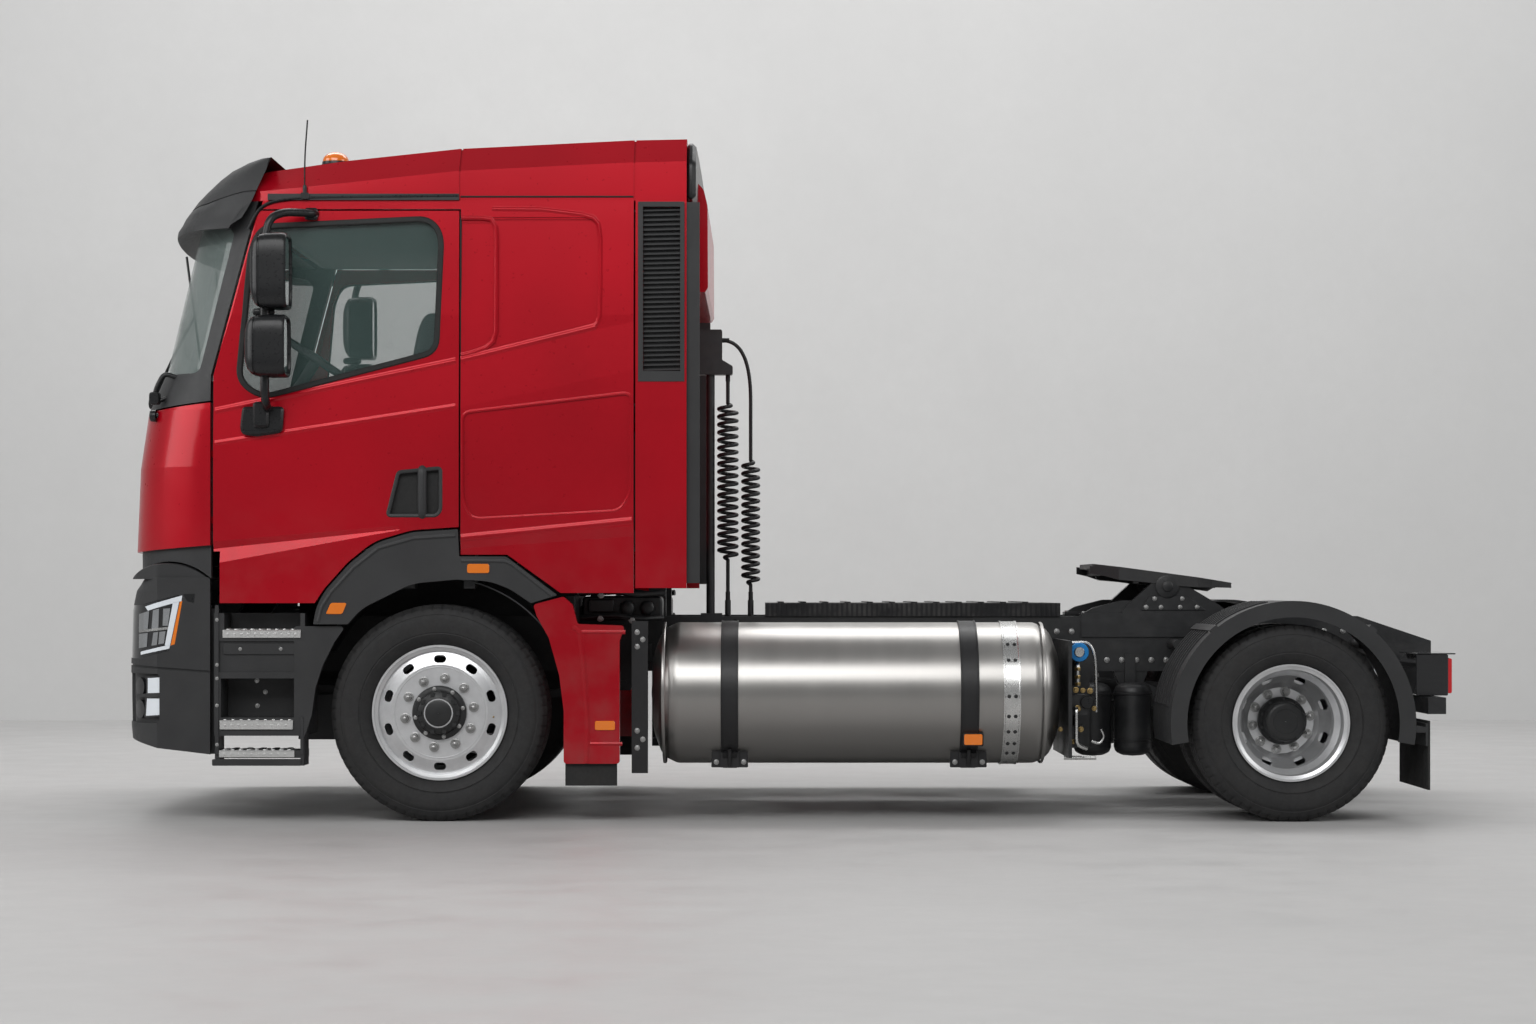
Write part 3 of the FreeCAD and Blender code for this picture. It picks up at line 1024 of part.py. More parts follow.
def make_bunk():
    """Bunk across the rear of the sleeper on its locker."""
    half = HALF_WIDTH - 70
    locker = box((560, CAB_REAR_X - WALL), (-half, half), (CAB_FLOOR_TOP, 1740))
    mattress = box((530, CAB_REAR_X - WALL - 4), (10 - half, half - 10), (1738, 1880))
    return fused([locker, mattress])


BEACON_AT = (-520.0, -700.0)


def make_roof_fittings():
    """Beacon on its base and a whip aerial at the left eave."""
    x, y = BEACON_AT
    base = rod((x, y, 2950), (x, y, 2978), 75)
    dome = rod((x, y, 2976), (x, y, 3045), 55)
    beacon = fused([base, dome]).cut(roof_form(-SEAT_GAP))
    foot = box((-606, -570), left_y(HALF_WIDTH - 12, HALF_WIDTH), (EAVE_Z + 4, EAVE_Z + 34))
    whip = rod((-588, 6 - HALF_WIDTH, EAVE_Z + 30), (-640, 6 - HALF_WIDTH, 3125), 4)
    return Part.makeCompound([beacon, fused([foot, whip])])


# Doors
HANDLE_SIDE = [(-220, 1365), (-173, 1555), (12, 1573), (12, 1388), (-6, 1365)]


def make_door():
    """Door as thick as its whole frame, window cut, handle recess with grip, thin lower cladding."""
    panel = relieved(CAB_SHELL.common(side_prism(DOOR_SIDE, left_y(*SIDE), DOOR_ROUND)))
    window = side_prism(WINDOW_SIDE, left_y(*SIDE), 55)
    recess = side_prism(HANDLE_SIDE, left_y(HALF_WIDTH - 27, HALF_WIDTH + 150), 14)
    hollow = tilt_sweep(CAB_SWEEP_R, (-HALF_WIDTH + 18, 0))
    grip = box((-86, -50), left_y(HALF_WIDTH - 12, HALF_WIDTH - 2), (1362, 1572))
    pockets = [box((DOOR_FRONT_X - 1, HINGE_X + HINGE_LUG_R + RUN_GAP), left_y(HALF_WIDTH - 60, HALF_WIDTH - 4.5),
                   (z - HINGE_LUG_HALF - RUN_GAP, z + HINGE_LUG_HALF + RUN_GAP)) for z in HINGE_Z]
    bores = [hinge_pin(z, HINGE_PIN_R + BEARING_GAP) for z in HINGE_Z]
    return fused([panel.cut(window).cut(recess).cut(hollow).cut(Part.makeCompound(pockets + bores)), grip])


def make_door_glass():
    """Side window in the middle of the door's thickness."""
    pane = cab_form(WALL / 2 - 3).cut(cab_form(WALL / 2 + 3))
    return pane.common(side_prism(WINDOW_SIDE, left_y(*SIDE), 55))


MIRROR_Y = (HALF_WIDTH + 50, HALF_WIDTH + 260)


MIRROR_UPPER = [(-650, 2268), (-650, 2592), (-720, 2599), (-795, 2560), (-801, 2300), (-740, 2261)]
MIRROR_LOWER = [(-655, 1968), (-655, 2240), (-730, 2246), (-812, 2210), (-823, 2010), (-750, 1959)]


def mirror_housing(points):
    """Mirror housing with its side outline, rounded in plan and seen from the front."""
    xs, zs = [p[0] for p in points], [p[1] for p in points]
    (x0, x1), (z0, z1), (y0, y1) = (min(xs), max(xs)), (min(zs), max(zs)), left_y(*MIRROR_Y)
    plan = plan_prism([(x0, y0), (x1, y0), (x1, y1), (x0, y1)], (z0, z1), [70, 25, 25, 70])
    front = front_prism([(y0, z0), (y1, z0), (y1, z1), (y0, z1)], (x0, x1), 45)
    return side_prism(points, (y0, y1), 30).common(plan).common(front)


def make_mirrors():
    """Main and wide mirror on a bar carried by two arms of the door."""
    upper, lower = mirror_housing(MIRROR_UPPER), mirror_housing(MIRROR_LOWER)
    bar_y = -MIRROR_Y[0] - 92
    bar = rod((-740, bar_y, 1850), (-740, bar_y, 2650), 15)
    top = plan_prism([(-760, bar_y + 8), (-760, bar_y - 16), (-735, bar_y - 16), (-545, 2 - HALF_WIDTH),
                      (-545, 14 - HALF_WIDTH), (-585, 14 - HALF_WIDTH)], (2628, 2656), 0)
    low = box((-762, -722), left_y(HALF_WIDTH + 12, HALF_WIDTH + 150), (1826, 1862))
    base = side_prism([(-873, 1750), (-800, 1713), (-690, 1730), (-678, 1846), (-840, 1846)],
                      left_y(HALF_WIDTH - 14, HALF_WIDTH + 25), 20)
    base = base.cut(relieved(cab_form(-SEAT_GAP)))
    plate = box((-592, -536), left_y(HALF_WIDTH - 30, HALF_WIDTH - 6), (2618, 2666)).cut(cab_form(-SEAT_GAP))
    return fused([upper, lower, bar, top, low, base, plate])


def build():
    """Every node's solid by name."""
    steer_left, steer_right = make_knuckle(), mirrored(make_knuckle())
    stand, lower_fitting = make_hose_stand()
    head_low = HEAD_Z[0]
    coil_1_top = (COIL_1["x"], STAND_Y, COIL_1["top"])
    coil_2_top = (COIL_2["x"], STAND_Y, COIL_2["top"])
    nodes = {
        "frame": make_frame(), "deck": make_deck(), "engine": make_engine(), "drive_shaft": make_drive_shaft(),
        "front_axle": make_front_axle(), "front_springs": make_front_springs(), "rear_axle": make_rear_axle(),
        "rear_suspension": make_rear_suspension(), "bumper": make_bumper(),
        "front_lamps": Part.makeCompound([make_headlamps(), make_fog_lamps()]), "steps": make_steps(),
        "guards": make_guards(), "flaps": make_flaps(),
        "gas_tanks": make_tanks(), "tank_mounts": Part.makeCompound([make_straps(), make_struts()]),
        "valves": make_valves(), "air_tanks": make_air_tanks(), "fifth_base": make_fifth_base(),
        "fenders": make_fenders(), "tail_beam": make_tail(), "tail_lamps": make_tail_lamps(),
        "hose_stand": Part.makeCompound([stand, lower_fitting]),
        "hose_coil_1": make_hose_coil(COIL_1), "hose_coil_2": make_hose_coil(COIL_2),
        "hose_leads_1": make_hose_leads(COIL_1, [(COIL_1["x"], STAND_Y, head_low), coil_1_top]),
        "hose_leads_2": make_hose_leads(COIL_2, [(1250, STAND_Y, 2215), (COIL_2["x"], STAND_Y, 2215), coil_2_top]),
        "knuckle_left": steer_left, "knuckle_right": steer_right,
        "front_tyre_left": make_front_tyre(), "front_tyre_right": mirrored(make_front_tyre()),
        "front_rim_left": make_front_rim(), "front_rim_right": mirrored(make_front_rim()),
        "rear_tyres_left": make_rear_tyres(), "rear_tyres_right": mirrored(make_rear_tyres()),
        "rear_rims_left": make_rear_rims(), "rear_rims_right": mirrored(make_rear_rims()),
        "fifth_plate": make_fifth_plate(),
        "cab_floor": make_cab_floor(), "cab_front": make_cab_front(), "cab_neck": make_neck(),
        "screen_frame": make_screen_frame(), "windscreen": make_windscreen(), "side_panels": make_side_panels(),
        "rear_corners": make_rear_corners(), "rear_wall": make_rear_wall(), "roof": make_roof(),
        "visor": make_visor(), "flares": make_flares(), "cab_trim": make_cab_trim(),
        "dashboard": make_dashboard(), "seats": make_seats(), "bunk": make_bunk(),
        "roof_fittings": make_roof_fittings(),
        "door_left": make_door(), "door_right": mirrored(make_door()),
        "door_glass_left": make_door_glass(), "door_glass_right": mirrored(make_door_glass()),
        "mirrors_left": make_mirrors(), "mirrors_right": mirrored(make_mirrors()),
    }
    return nodes


def main():
    """Write one file for each node, with the middle of the length moved to x = 0."""
    for name, shape in build().items():
        shape = shape.copy()
        shape.translate(V(-MID_X, 0, 0))
        shape.exportStep("parts/" + name + ".step")
        box_now = shape.BoundBox
        print(name, len(shape.Solids), "ok" if shape.isValid() else "BAD",
              [round(v) for v in (box_now.XMin + MID_X, box_now.XMax + MID_X, box_now.YMin, box_now.YMax,
                                  box_now.ZMin, box_now.ZMax)])


main()
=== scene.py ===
import math

import bmesh
import bpy
import mathutils
import numpy as np
from bpy.props import FloatProperty, FloatVectorProperty, IntProperty, PointerProperty
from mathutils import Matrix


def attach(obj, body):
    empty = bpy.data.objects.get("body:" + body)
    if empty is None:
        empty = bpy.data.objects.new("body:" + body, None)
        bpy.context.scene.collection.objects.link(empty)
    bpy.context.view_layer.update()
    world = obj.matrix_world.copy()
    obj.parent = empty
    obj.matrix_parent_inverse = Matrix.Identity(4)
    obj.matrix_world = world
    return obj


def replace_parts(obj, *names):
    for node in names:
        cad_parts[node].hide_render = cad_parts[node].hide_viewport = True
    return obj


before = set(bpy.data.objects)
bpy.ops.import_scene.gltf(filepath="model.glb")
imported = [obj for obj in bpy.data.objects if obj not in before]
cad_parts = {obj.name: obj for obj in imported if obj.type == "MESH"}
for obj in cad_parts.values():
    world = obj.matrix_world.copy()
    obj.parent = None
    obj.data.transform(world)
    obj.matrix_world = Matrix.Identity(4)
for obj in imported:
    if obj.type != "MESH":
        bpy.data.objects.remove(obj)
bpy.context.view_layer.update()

bl_info = {
    "name": "Tractor unit dressing",
    "version": (1, 0, 0),
    "blender": (4, 5, 0),
    "location": "3D View > Sidebar > Truck",
    "description": "Materials and fine parts for a two-axle tractor unit",
    "category": "Object",
}

MM = 0.001
AXLE_X = -1.5475            # front axle in the model's frame, in metres
SIDES = ("left", "right")
OUT, UP = (0, -1, 0), (0, 0, 1)
SHARP_ANGLE = 38            # degrees between faces from which an edge stays sharp

# Drawing numbers, here and below, are millimetres: x from the front axle, y from the middle, z from the floor.
WHEELBASE = 3800.0
FRONT_HUB, REAR_HUB = (0, 485), (WHEELBASE, 440)        # (x, z) of the wheels' centres
FRONT_TYRE_Y = 885          # inner wall of the front tyre
TANK_Y, TANK_Z, TANK_END = -900.0, 566.0, 2794.0
TILT_X, TILT_Z, TILT_R = -1213, 850, 303                # cab's hinge and the cap's circle about it
BUMPER_Y, CORNER_START = 1222.0, -1250                  # its straight side and where the corner begins
CORNER_R, CORNER_X, CORNER_Y = 373.8, -1051.3, 905.4    # the bumper's rounded corner
HOSE_Y, FITTING_TOP = -380.0, 985.0

# Stage, in metres; each lamp has a name, a place, a size, its watts and the point that it faces.
FLOOR_HALF, WALL_Y, WALL_TOP = 40, 9.0, 24
LAMPS = (("key", (-2.5, -10.5, 7.5), (11, 5), 690, (0, 0, 1.2)), ("top", (0, 3.6, 9.5), (13, 5), 470, (0, 0, 0)),
         ("front", (-9, -3, 4.5), (5, 5), 230, (-1.5, 0, 1.4)), ("rear", (9, -4, 5), (5, 5), 210, (1.5, 0, 0.8)),
         ("wall wash", (0, 4.5, 10.0), (18, 3), 560, (0, 9, 2.5)))
WALL_COLOUR, SKY_COLOUR, PALE = (0.63, 0.63, 0.625), (0.94, 0.95, 0.96, 1), (0.6, 0.6, 0.597, 1)
SKY_LIT, SKY_SEEN = 0.2, 0.6            # strength of the world on the truck and for the camera
MIRRORED = 0.25                         # share of the pale surround that reflections get
CAMERA_X, HORIZON = 1.467, 0.0508       # camera behind the front axle; shift that lowers the horizon in the frame
FADE = (9.5, 19.0)                      # from the middle, where floor and wall turn to the pale tone


def at(x, y, z):
    """Point from millimetres counted from the front axle, to metres in the model's frame."""
    return np.array([AXLE_X + x * MM, y * MM, z * MM])


def mesh_piece(name, part, body, finish):
    """One smooth-shaded object from (verts, faces) arrays, riding on a body, in a finish of the table below."""
    verts, faces = part
    material, slot = finishes(bpy.context.scene)[finish]
    mesh = bpy.data.meshes.new(name)
    mesh.from_pydata(np.asarray(verts, float).reshape(-1, 3).tolist(), [], [list(map(int, f)) for f in faces])
    mesh.update()
    obj = bpy.data.objects.new(name, mesh)
    bpy.context.scene.collection.objects.link(obj)
    outward(mesh)
    mesh.polygons.foreach_set("use_smooth", [True] * len(mesh.polygons))
    mesh.set_sharp_from_angle(angle=math.radians(SHARP_ANGLE))
    mesh.materials.append(material)
    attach(obj, body)
    return obj


def grid_faces(rows, cols, close_rows=False, close_cols=False):
    """Quads of a grid of points, joined round where asked."""
    r = np.arange(rows if close_rows else rows - 1)
    c = np.arange(cols if close_cols else cols - 1)
    i, j = np.meshgrid(r, c, indexing="ij")
    i2, j2 = (i + 1) % rows, (j + 1) % cols
    return np.stack([i * cols + j, i2 * cols + j, i2 * cols + j2, i * cols + j2], -1).reshape(-1, 4)


def outward(mesh):
    """Merge doubles and point every face out."""
    bm = bmesh.new()
    bm.from_mesh(mesh)
    bmesh.ops.remove_doubles(bm, verts=bm.verts, dist=1e-6)
    bmesh.ops.recalc_face_normals(bm, faces=bm.faces)
    bm.to_mesh(mesh)
    bm.free()


def turned_mesh(profile, centre, axis="y", steps=96, start=0.0, end=2 * math.pi, loop=False):
    """Profile of (radius, along) pairs turned about an axis; loop joins the profile's ends.

    Point = centre + radius * (cos t, sin t) across the axis + along on it.
    """
    p = np.asarray(profile, float)
    full = abs(end - start - 2 * math.pi) < 1e-6
    t = np.linspace(start, end, steps, endpoint=not full)
    r, a = p[None, :, 0], p[None, :, 1]
    c, s = np.cos(t)[:, None] * r, np.sin(t)[:, None] * r
    a = np.broadcast_to(a, c.shape)
    order = {"y": (c, a, s), "x": (a, c, s), "z": (c, s, a)}[axis]
    verts = np.stack(order, -1) + np.asarray(centre, float)
    return verts.reshape(-1, 3), grid_faces(len(t), len(p), close_rows=full, close_cols=loop)


def mm(points):
    """Points in millimetres from the front axle, to metres in the model's frame."""
    return np.asarray(points, float) * MM + (AXLE_X, 0, 0)


def flipped(part):
    """The same part on the other side of the truck."""
    verts, faces = part
    return np.asarray(verts, float).reshape(-1, 3) * (1, -1, 1), [list(face)[::-1] for face in faces]


def side_pieces(name, parts, bodies, finish):
    """A piece of the left side and its mirror image; bodies is one body or a pair of them."""
    left = join(parts)
    pair = (bodies, bodies) if isinstance(bodies, str) else bodies
    return [mesh_piece(f"{name}_{side}", part, body, finish)
            for side, part, body in zip(SIDES, (left, flipped(left)), pair)]


def rounded(points, radius, steps=5):
    """Closed outline with its corners turned to parabolas that start a radius before each corner."""
    p = np.asarray(points, float)
    before, after = np.roll(p, 1, 0) - p, np.roll(p, -1, 0) - p
    lb, la = np.linalg.norm(before, axis=1)[:, None], np.linalg.norm(after, axis=1)[:, None]
    reach_b, reach_a = np.minimum(radius, lb * 0.48), np.minimum(radius, la * 0.48)
    a, b = p + before / lb * reach_b, p + after / la * reach_a
    t = np.linspace(0, 1, steps)[None, :, None]
    return (a[:, None] * (1 - t) ** 2 + 2 * p[:, None] * t * (1 - t) + b[:, None] * t ** 2).reshape(-1, p.shape[1])


def grown(outline, distance):
    """Closed 2-D outline moved out along the mean normal of each point."""
    p = np.asarray(outline, float)
    step = np.roll(p, -1, 0) - np.roll(p, 1, 0)
    normal = np.stack([step[:, 1], -step[:, 0]], 1)
    normal /= np.maximum(np.linalg.norm(normal, axis=1), 1e-9)[:, None]
    area = np.sum(p[:, 0] * np.roll(p[:, 1], -1) - np.roll(p[:, 0], -1) * p[:, 1])
    return p + normal * distance * (1 if area > 0 else -1)


def plate(outline, axis, low, high, corner=0.0, ease=1.0):
    """Slab in millimetres: an outline across an axis, carried from low to high with its edges eased."""
    p = rounded(outline, corner) if corner else np.asarray(outline, float)
    levels = ((low, -ease), (low + ease, 0.0), (high - ease, 0.0), (high, -ease))
    rings = []
    for place, grow in levels:
        q = grown(p, grow)
        rings.append(np.insert(q, "xyz".index(axis), float(place), axis=1))
    n = len(p)
    faces = grid_faces(4, n, close_cols=True).tolist()
    faces += [list(range(n))[::-1], list(range(3 * n, 4 * n))]
    return mm(np.concatenate(rings)), faces


def block(x, y, z, corner=0.0, ease=2.0):
    """Box in millimetres between (low, high) pairs, its edges eased."""
    x, y, z = sorted(x), sorted(y), sorted(z)
    return plate([(x[0], z[0]), (x[1], z[0]), (x[1], z[1]), (x[0], z[1])], "y", y[0], y[1], corner, ease)


def bar(points, radius, sides=10, closed=False, bend=0.0):
    """Round bar in millimetres along points, their corners rounded where bend is given."""
    p = np.asarray(points, float)
    if bend and not closed:
        r = rounded(p, bend)
        p = np.concatenate([p[:1], r[5:-5], p[-1:]])
    elif bend:
        p = rounded(p, bend)
    return tube_part(mm(p), radius * MM, sides, closed)


def spun(profile, centre, steps=72, loop=False):
    """Profile of (radius, |y|) in millimetres turned about a crosswise axle through (x, z) on the left side."""
    return turned_mesh(np.asarray(profile, float) * (MM, -MM), at(centre[0], 0, centre[1]), "y", steps, loop=loop)


def button(place, radius, height, sides=24, dome=0.0, axis=OUT):
    """Round button in millimetres."""
    return disc_part(at(*place), axis, radius * MM, height * MM, sides, dome * MM)


def bolts(places, axis, radius, height):
    """Bolt heads at points in millimetres."""
    return [hex_part(at(*p), axis, radius * MM, height * MM) for p in places]


def bolt_ring(count, reach, centre, y, radius, height, turn=0.0, sides=6):
    """Bolt heads, or domed buttons, on a circle about a wheel's axle, facing out of the left side."""
    a = np.arange(count) * 2 * math.pi / count + turn
    places = [(centre[0] + reach * math.cos(k), -y, centre[1] + reach * math.sin(k)) for k in a]
    if sides == 6:
        return bolts(places, OUT, radius, height)
    return [button(p, radius, height, sides, height * 0.25) for p in places]


def join(parts):
    """Several (verts, faces) arrays as one."""
    verts, faces, base = [], [], 0
    for v, f in parts:
        v = np.asarray(v, float).reshape(-1, 3)
        verts.append(v)
        faces += [[int(k) + base for k in face] for face in f]
        base += len(v)
    return np.concatenate(verts), faces


def box_part(lo, hi):
    """Closed box between two corners."""
    lo, hi = np.minimum(lo, hi), np.maximum(lo, hi)
    k = np.array([[i, j, l] for i in (0, 1) for j in (0, 1) for l in (0, 1)])
    verts = np.where(k, hi, lo)
    faces = [[0, 1, 3, 2], [4, 6, 7, 5], [0, 4, 5, 1], [2, 3, 7, 6], [0, 2, 6, 4], [1, 5, 7, 3]]
    return verts, faces


def tube_part(points, radius, sides=10, closed=False):
    """Round tube along points: rings carried in a frame turned as little as possible."""
    p = np.asarray(points, float)
    if closed:
        tangents = np.roll(p, -1, 0) - np.roll(p, 1, 0)
    else:
        tangents = np.gradient(p, axis=0)
    tangents /= np.linalg.norm(tangents, axis=1)[:, None]
    guess = np.array([0, 0, 1.0]) if abs(tangents[0][2]) < 0.9 else np.array([1.0, 0, 0])
    normals, n = [], guess
    for t in tangents:
        n = n - t * np.dot(n, t)
        n /= np.linalg.norm(n)
        normals.append(n)
    normals = np.array(normals)
    binormals = np.cross(tangents, normals)
    a = np.linspace(0, 2 * math.pi, sides, endpoint=False)
    radius = np.broadcast_to(np.asarray(radius, float), (len(p),))
    ring = (np.cos(a)[None, :, None] * normals[:, None] + np.sin(a)[None, :, None] * binormals[:, None])
    verts = p[:, None] + ring * radius[:, None, None]
    faces = grid_faces(len(p), sides, close_rows=closed, close_cols=True).tolist()
    verts = verts.reshape(-1, 3)
    if not closed:
        faces.append(list(range(sides))[::-1])
        faces.append(list(range((len(p) - 1) * sides, len(p) * sides)))
    return verts, faces


def bezier(points, count=24):
    """Smooth run through hand-set control points, a quadratic spline clamped at both ends."""
    p = np.asarray(points, float)
    if len(p) == 2:
        t = np.linspace(0, 1, count)[:, None]
        return p[0] * (1 - t) + p[1] * t
    mids = (p[1:-2] + p[2:-1]) / 2
    knots = np.concatenate([[p[0]], mids, [p[-1]]]) if len(p) > 3 else np.array([p[0], p[-1]])
    out = []
    t = np.linspace(0, 1, count)[:, None]
    for i in range(len(knots) - 1):
        a, b, c = knots[i], p[i + 1], knots[i + 1]
        seg = a * (1 - t) ** 2 + 2 * b * t * (1 - t) + c * t ** 2
        out.append(seg if i == 0 else seg[1:])
    return np.concatenate(out)


def disc_part(centre, axis, radius, height, sides=24, dome=0.0):
    """Round button along an axis with a rounded rim and an optional dome."""
    w = np.asarray(axis, float)
    w = w / np.linalg.norm(w)
    u = np.cross(w, [0, 0, 1.0] if abs(w[2]) < 0.9 else [1.0, 0, 0])
    u /= np.linalg.norm(u)
    v = np.cross(w, u)
    prof = np.array([[1, 0], [1, height * 0.75], [0.94, height * 0.93], [0.85, height],
                     [0.5, height + dome * 0.75], [0.02, height + dome]])
    a = np.linspace(0, 2 * math.pi, sides, endpoint=False)
    ring = np.cos(a)[:, None] * u + np.sin(a)[:, None] * v
    verts = (np.asarray(centre, float) + prof[:, 0, None, None] * radius * ring[None] + prof[:, 1, None, None] * w)
    faces = grid_faces(len(prof), sides, close_cols=True).tolist()
    faces.append(list(range(sides))[::-1])
    faces.append([(len(prof) - 1) * sides + k for k in range(sides)])
    return verts.reshape(-1, 3), faces


def hex_part(centre, axis, radius, height):
    """Six-sided bolt head with a washer."""
    foot = np.asarray(centre, float) + np.asarray(axis, float) * height * 0.18
    return join([disc_part(foot, axis, radius, height * 0.82, 6),
                 disc_part(centre, axis, radius * 1.35, height * 0.2, 12)])


class Nodes:
    """Short way to write the node tree of a material, or of a world that is passed in."""

    def __init__(self, name, world=None):
        self.material = world or bpy.data.materials.new(name)
        self.material.use_nodes = True
        self.tree = self.material.node_tree
        self.tree.nodes.clear()
        self.out = self.tree.nodes.new("ShaderNodeOutputWorld" if world else "ShaderNodeOutputMaterial")
        self.coord = self.tree.nodes.new("ShaderNodeTexCoord")

    def add(self, kind, inputs=None, **props):
        node = self.tree.nodes.new(kind)
        for key, value in props.items():
            setattr(node, key, value)
        for key, value in (inputs or {}).items():
            self.put(node, key, value)
        return node

    def put(self, node, key, value):
        socket = node.inputs[key]
        if hasattr(value, "is_output"):
            self.tree.links.new(value, socket)
        else:
            socket.default_value = value

    def noise(self, scale, detail=3.0, rough=0.55, stretch=(1, 1, 1), output="Fac"):
        mapping = self.add("ShaderNodeMapping", {"Vector": self.coord.outputs["Object"], "Scale": stretch})
        node = self.add("ShaderNodeTexNoise", {"Vector": mapping.outputs[0], "Scale": scale, "Detail": detail,
                                               "Roughness": rough})
        return node.outputs[output]

    def ramp(self, fac, low, high, low_value=0.0, high_value=1.0):
        return self.add("ShaderNodeMapRange", {0: fac, 1: low, 2: high, 3: low_value, 4: high_value}).outputs[0]

    def mix(self, fac, a, b):
        return self.add("ShaderNodeMix", {0: fac, 6: a, 7: b}, data_type="RGBA").outputs[2]

    def math(self, op, a, b=0.0):
        return self.add("ShaderNodeMath", {0: a, 1: b}, operation=op).outputs[0]

    def axis(self, name):
        return self.add("ShaderNodeSeparateXYZ", {0: self.coord.outputs["Object"]}).outputs[name]

    def bump(self, height, strength=0.2, distance=0.001, under=None):
        inputs = {"Height": height, "Strength": strength, "Distance": distance}
        if under is not None:
            inputs["Normal"] = under
        return self.add("ShaderNodeBump", inputs).outputs[0]

    def wave(self, scale, distortion, direction):
        return self.add("ShaderNodeTexWave", {"Vector": self.coord.outputs["Object"], "Scale": scale,
                                              "Distortion": distortion}, bands_direction=direction).outputs["Fac"]

    def seen(self):
        """1 for camera and transmission rays, the mirrored share for glossy ones, 0 for the rest."""
        path = self.add("ShaderNodeLightPath").outputs
        whole = self.math("MAXIMUM", path["Is Camera Ray"], path["Is Transmission Ray"])
        return self.math("ADD", whole, self.math("MULTIPLY", path["Is Glossy Ray"], MIRRORED))

    def surface(self, shader):
        self.tree.links.new(shader, self.out.inputs["Surface"])

    def finish(self, **sockets):
        inputs = {key.replace("_", " "): value for key, value in sockets.items()}
        self.surface(self.add("ShaderNodeBsdfPrincipled", inputs).outputs[0])
        return self.material


def rgb(value, gain=1.0):
    """Colour with an alpha of 1, made darker or lighter by gain."""
    return (value[0] * gain, value[1] * gain, value[2] * gain, 1.0)


def material_red_paint(colours):
    """Clear-coated metallic red with faint orange peel and road film towards the sills."""
    n = Nodes("red paint")
    flow = n.noise(1.3, 2.0)
    low = n.ramp(n.axis("Z"), 1.5, 0.35)
    film = n.math("MULTIPLY", low, n.ramp(n.noise(7.0, 6.0), 0.4, 0.75, 0.0, 0.35))
    base = n.mix(n.ramp(flow, 0.3, 0.7), rgb(colours.paint), rgb(colours.paint, 0.82))
    base = n.mix(film, base, (0.16, 0.09, 0.08, 1))
    rough = n.math("ADD", n.ramp(n.noise(40.0, 3.0), 0.2, 0.8, 0.26, 0.33), film)
    peel = n.bump(n.noise(420.0, 2.0), 0.035, 0.0006)
    return n.finish(Base_Color=base, Metallic=0.3, Roughness=rough, Normal=peel, Specular_IOR_Level=0.1,
                    Coat_Weight=0.45, Coat_Roughness=0.12, Coat_IOR=1.45)


def material_grained(name, colour, scale=900.0, strength=0.12, rough=(0.42, 0.58), dust=0.12):
    """Moulded plastic: fine grain, slow tone shifts, dust lying on low places."""
    n = Nodes(name)
    film = n.math("MULTIPLY", n.ramp(n.axis("Z"), 1.3, 0.2), n.ramp(n.noise(9.0, 6.0), 0.42, 0.78, 0.0, dust))
    tone = n.mix(n.ramp(n.noise(5.0, 4.0), 0.3, 0.7), rgb(colour), rgb(colour, 1.35))
    tone = n.mix(film, tone, (0.07, 0.066, 0.062, 1))
    roughness = n.math("ADD", n.ramp(n.noise(60.0, 4.0), 0.2, 0.8, *rough), film)
    grain = n.add("ShaderNodeTexVoronoi", {"Vector": n.coord.outputs["Object"], "Scale": scale}).outputs[0]
    return n.finish(Base_Color=tone, Roughness=roughness, Normal=n.bump(grain, strength, 0.0003),
                    Specular_IOR_Level=0.36)


def material_chassis(colours):
    """Sprayed chassis black with overspray texture and dusty streaks."""
    n = Nodes("chassis black")
    film = n.ramp(n.noise(6.0, 8.0, 0.65, (1, 1, 2.2)), 0.48, 0.8, 0.0, 0.3)
    tone = n.mix(n.ramp(n.noise(22.0, 4.0), 0.35, 0.7), rgb(colours.chassis), rgb(colours.chassis, 1.6))
    tone = n.mix(film, tone, (0.05, 0.047, 0.044, 1))
    spray = n.bump(n.noise(500.0, 3.0), 0.12, 0.0005)
    return n.finish(Base_Color=tone, Roughness=n.math("ADD", n.ramp(n.noise(90.0), 0.2, 0.8, 0.33, 0.5), film),
                    Normal=spray)


def material_tank_steel(colours):
    """Stainless tank sheet, brushed round its girth, with rolled waves, faint handling marks and painted shade that
    darkens its lower part.
    """
    n = Nodes("brushed tank sheet")
    lines = n.noise(190.0, 4.0, 0.7, (9.0, 0.35, 0.35))
    cloud = n.noise(3.0, 4.0, 0.6, (2.2, 0.5, 0.5))
    tone = n.mix(n.ramp(cloud, 0.25, 0.75), rgb(colours.steel, 0.84), rgb(colours.steel, 1.04))
    tone = n.mix(n.ramp(lines, 0.3, 0.7, 0.0, 0.5), tone, rgb(colours.steel, 0.9))
    # Painted shade: the sheet turns darker towards the bottom, standing for the floor's shadow reflected in its lower
    # side.
    tone = n.mix(n.ramp(n.axis("Z"), 0.32, 0.86), rgb(colours.steel, 0.56), tone)
    rough = n.math("ADD", n.ramp(lines, 0.2, 0.8, 0.27, 0.37), n.ramp(cloud, 0.3, 0.8, 0.0, 0.05))
    wave = n.bump(n.noise(2.4, 2.0, 0.4, (1.6, 0.6, 0.6)), 0.25, 0.004)
    return n.finish(Base_Color=tone, Metallic=1.0, Roughness=rough, Normal=n.bump(lines, 0.05, 0.0004, wave),
                    Anisotropic=0.45)


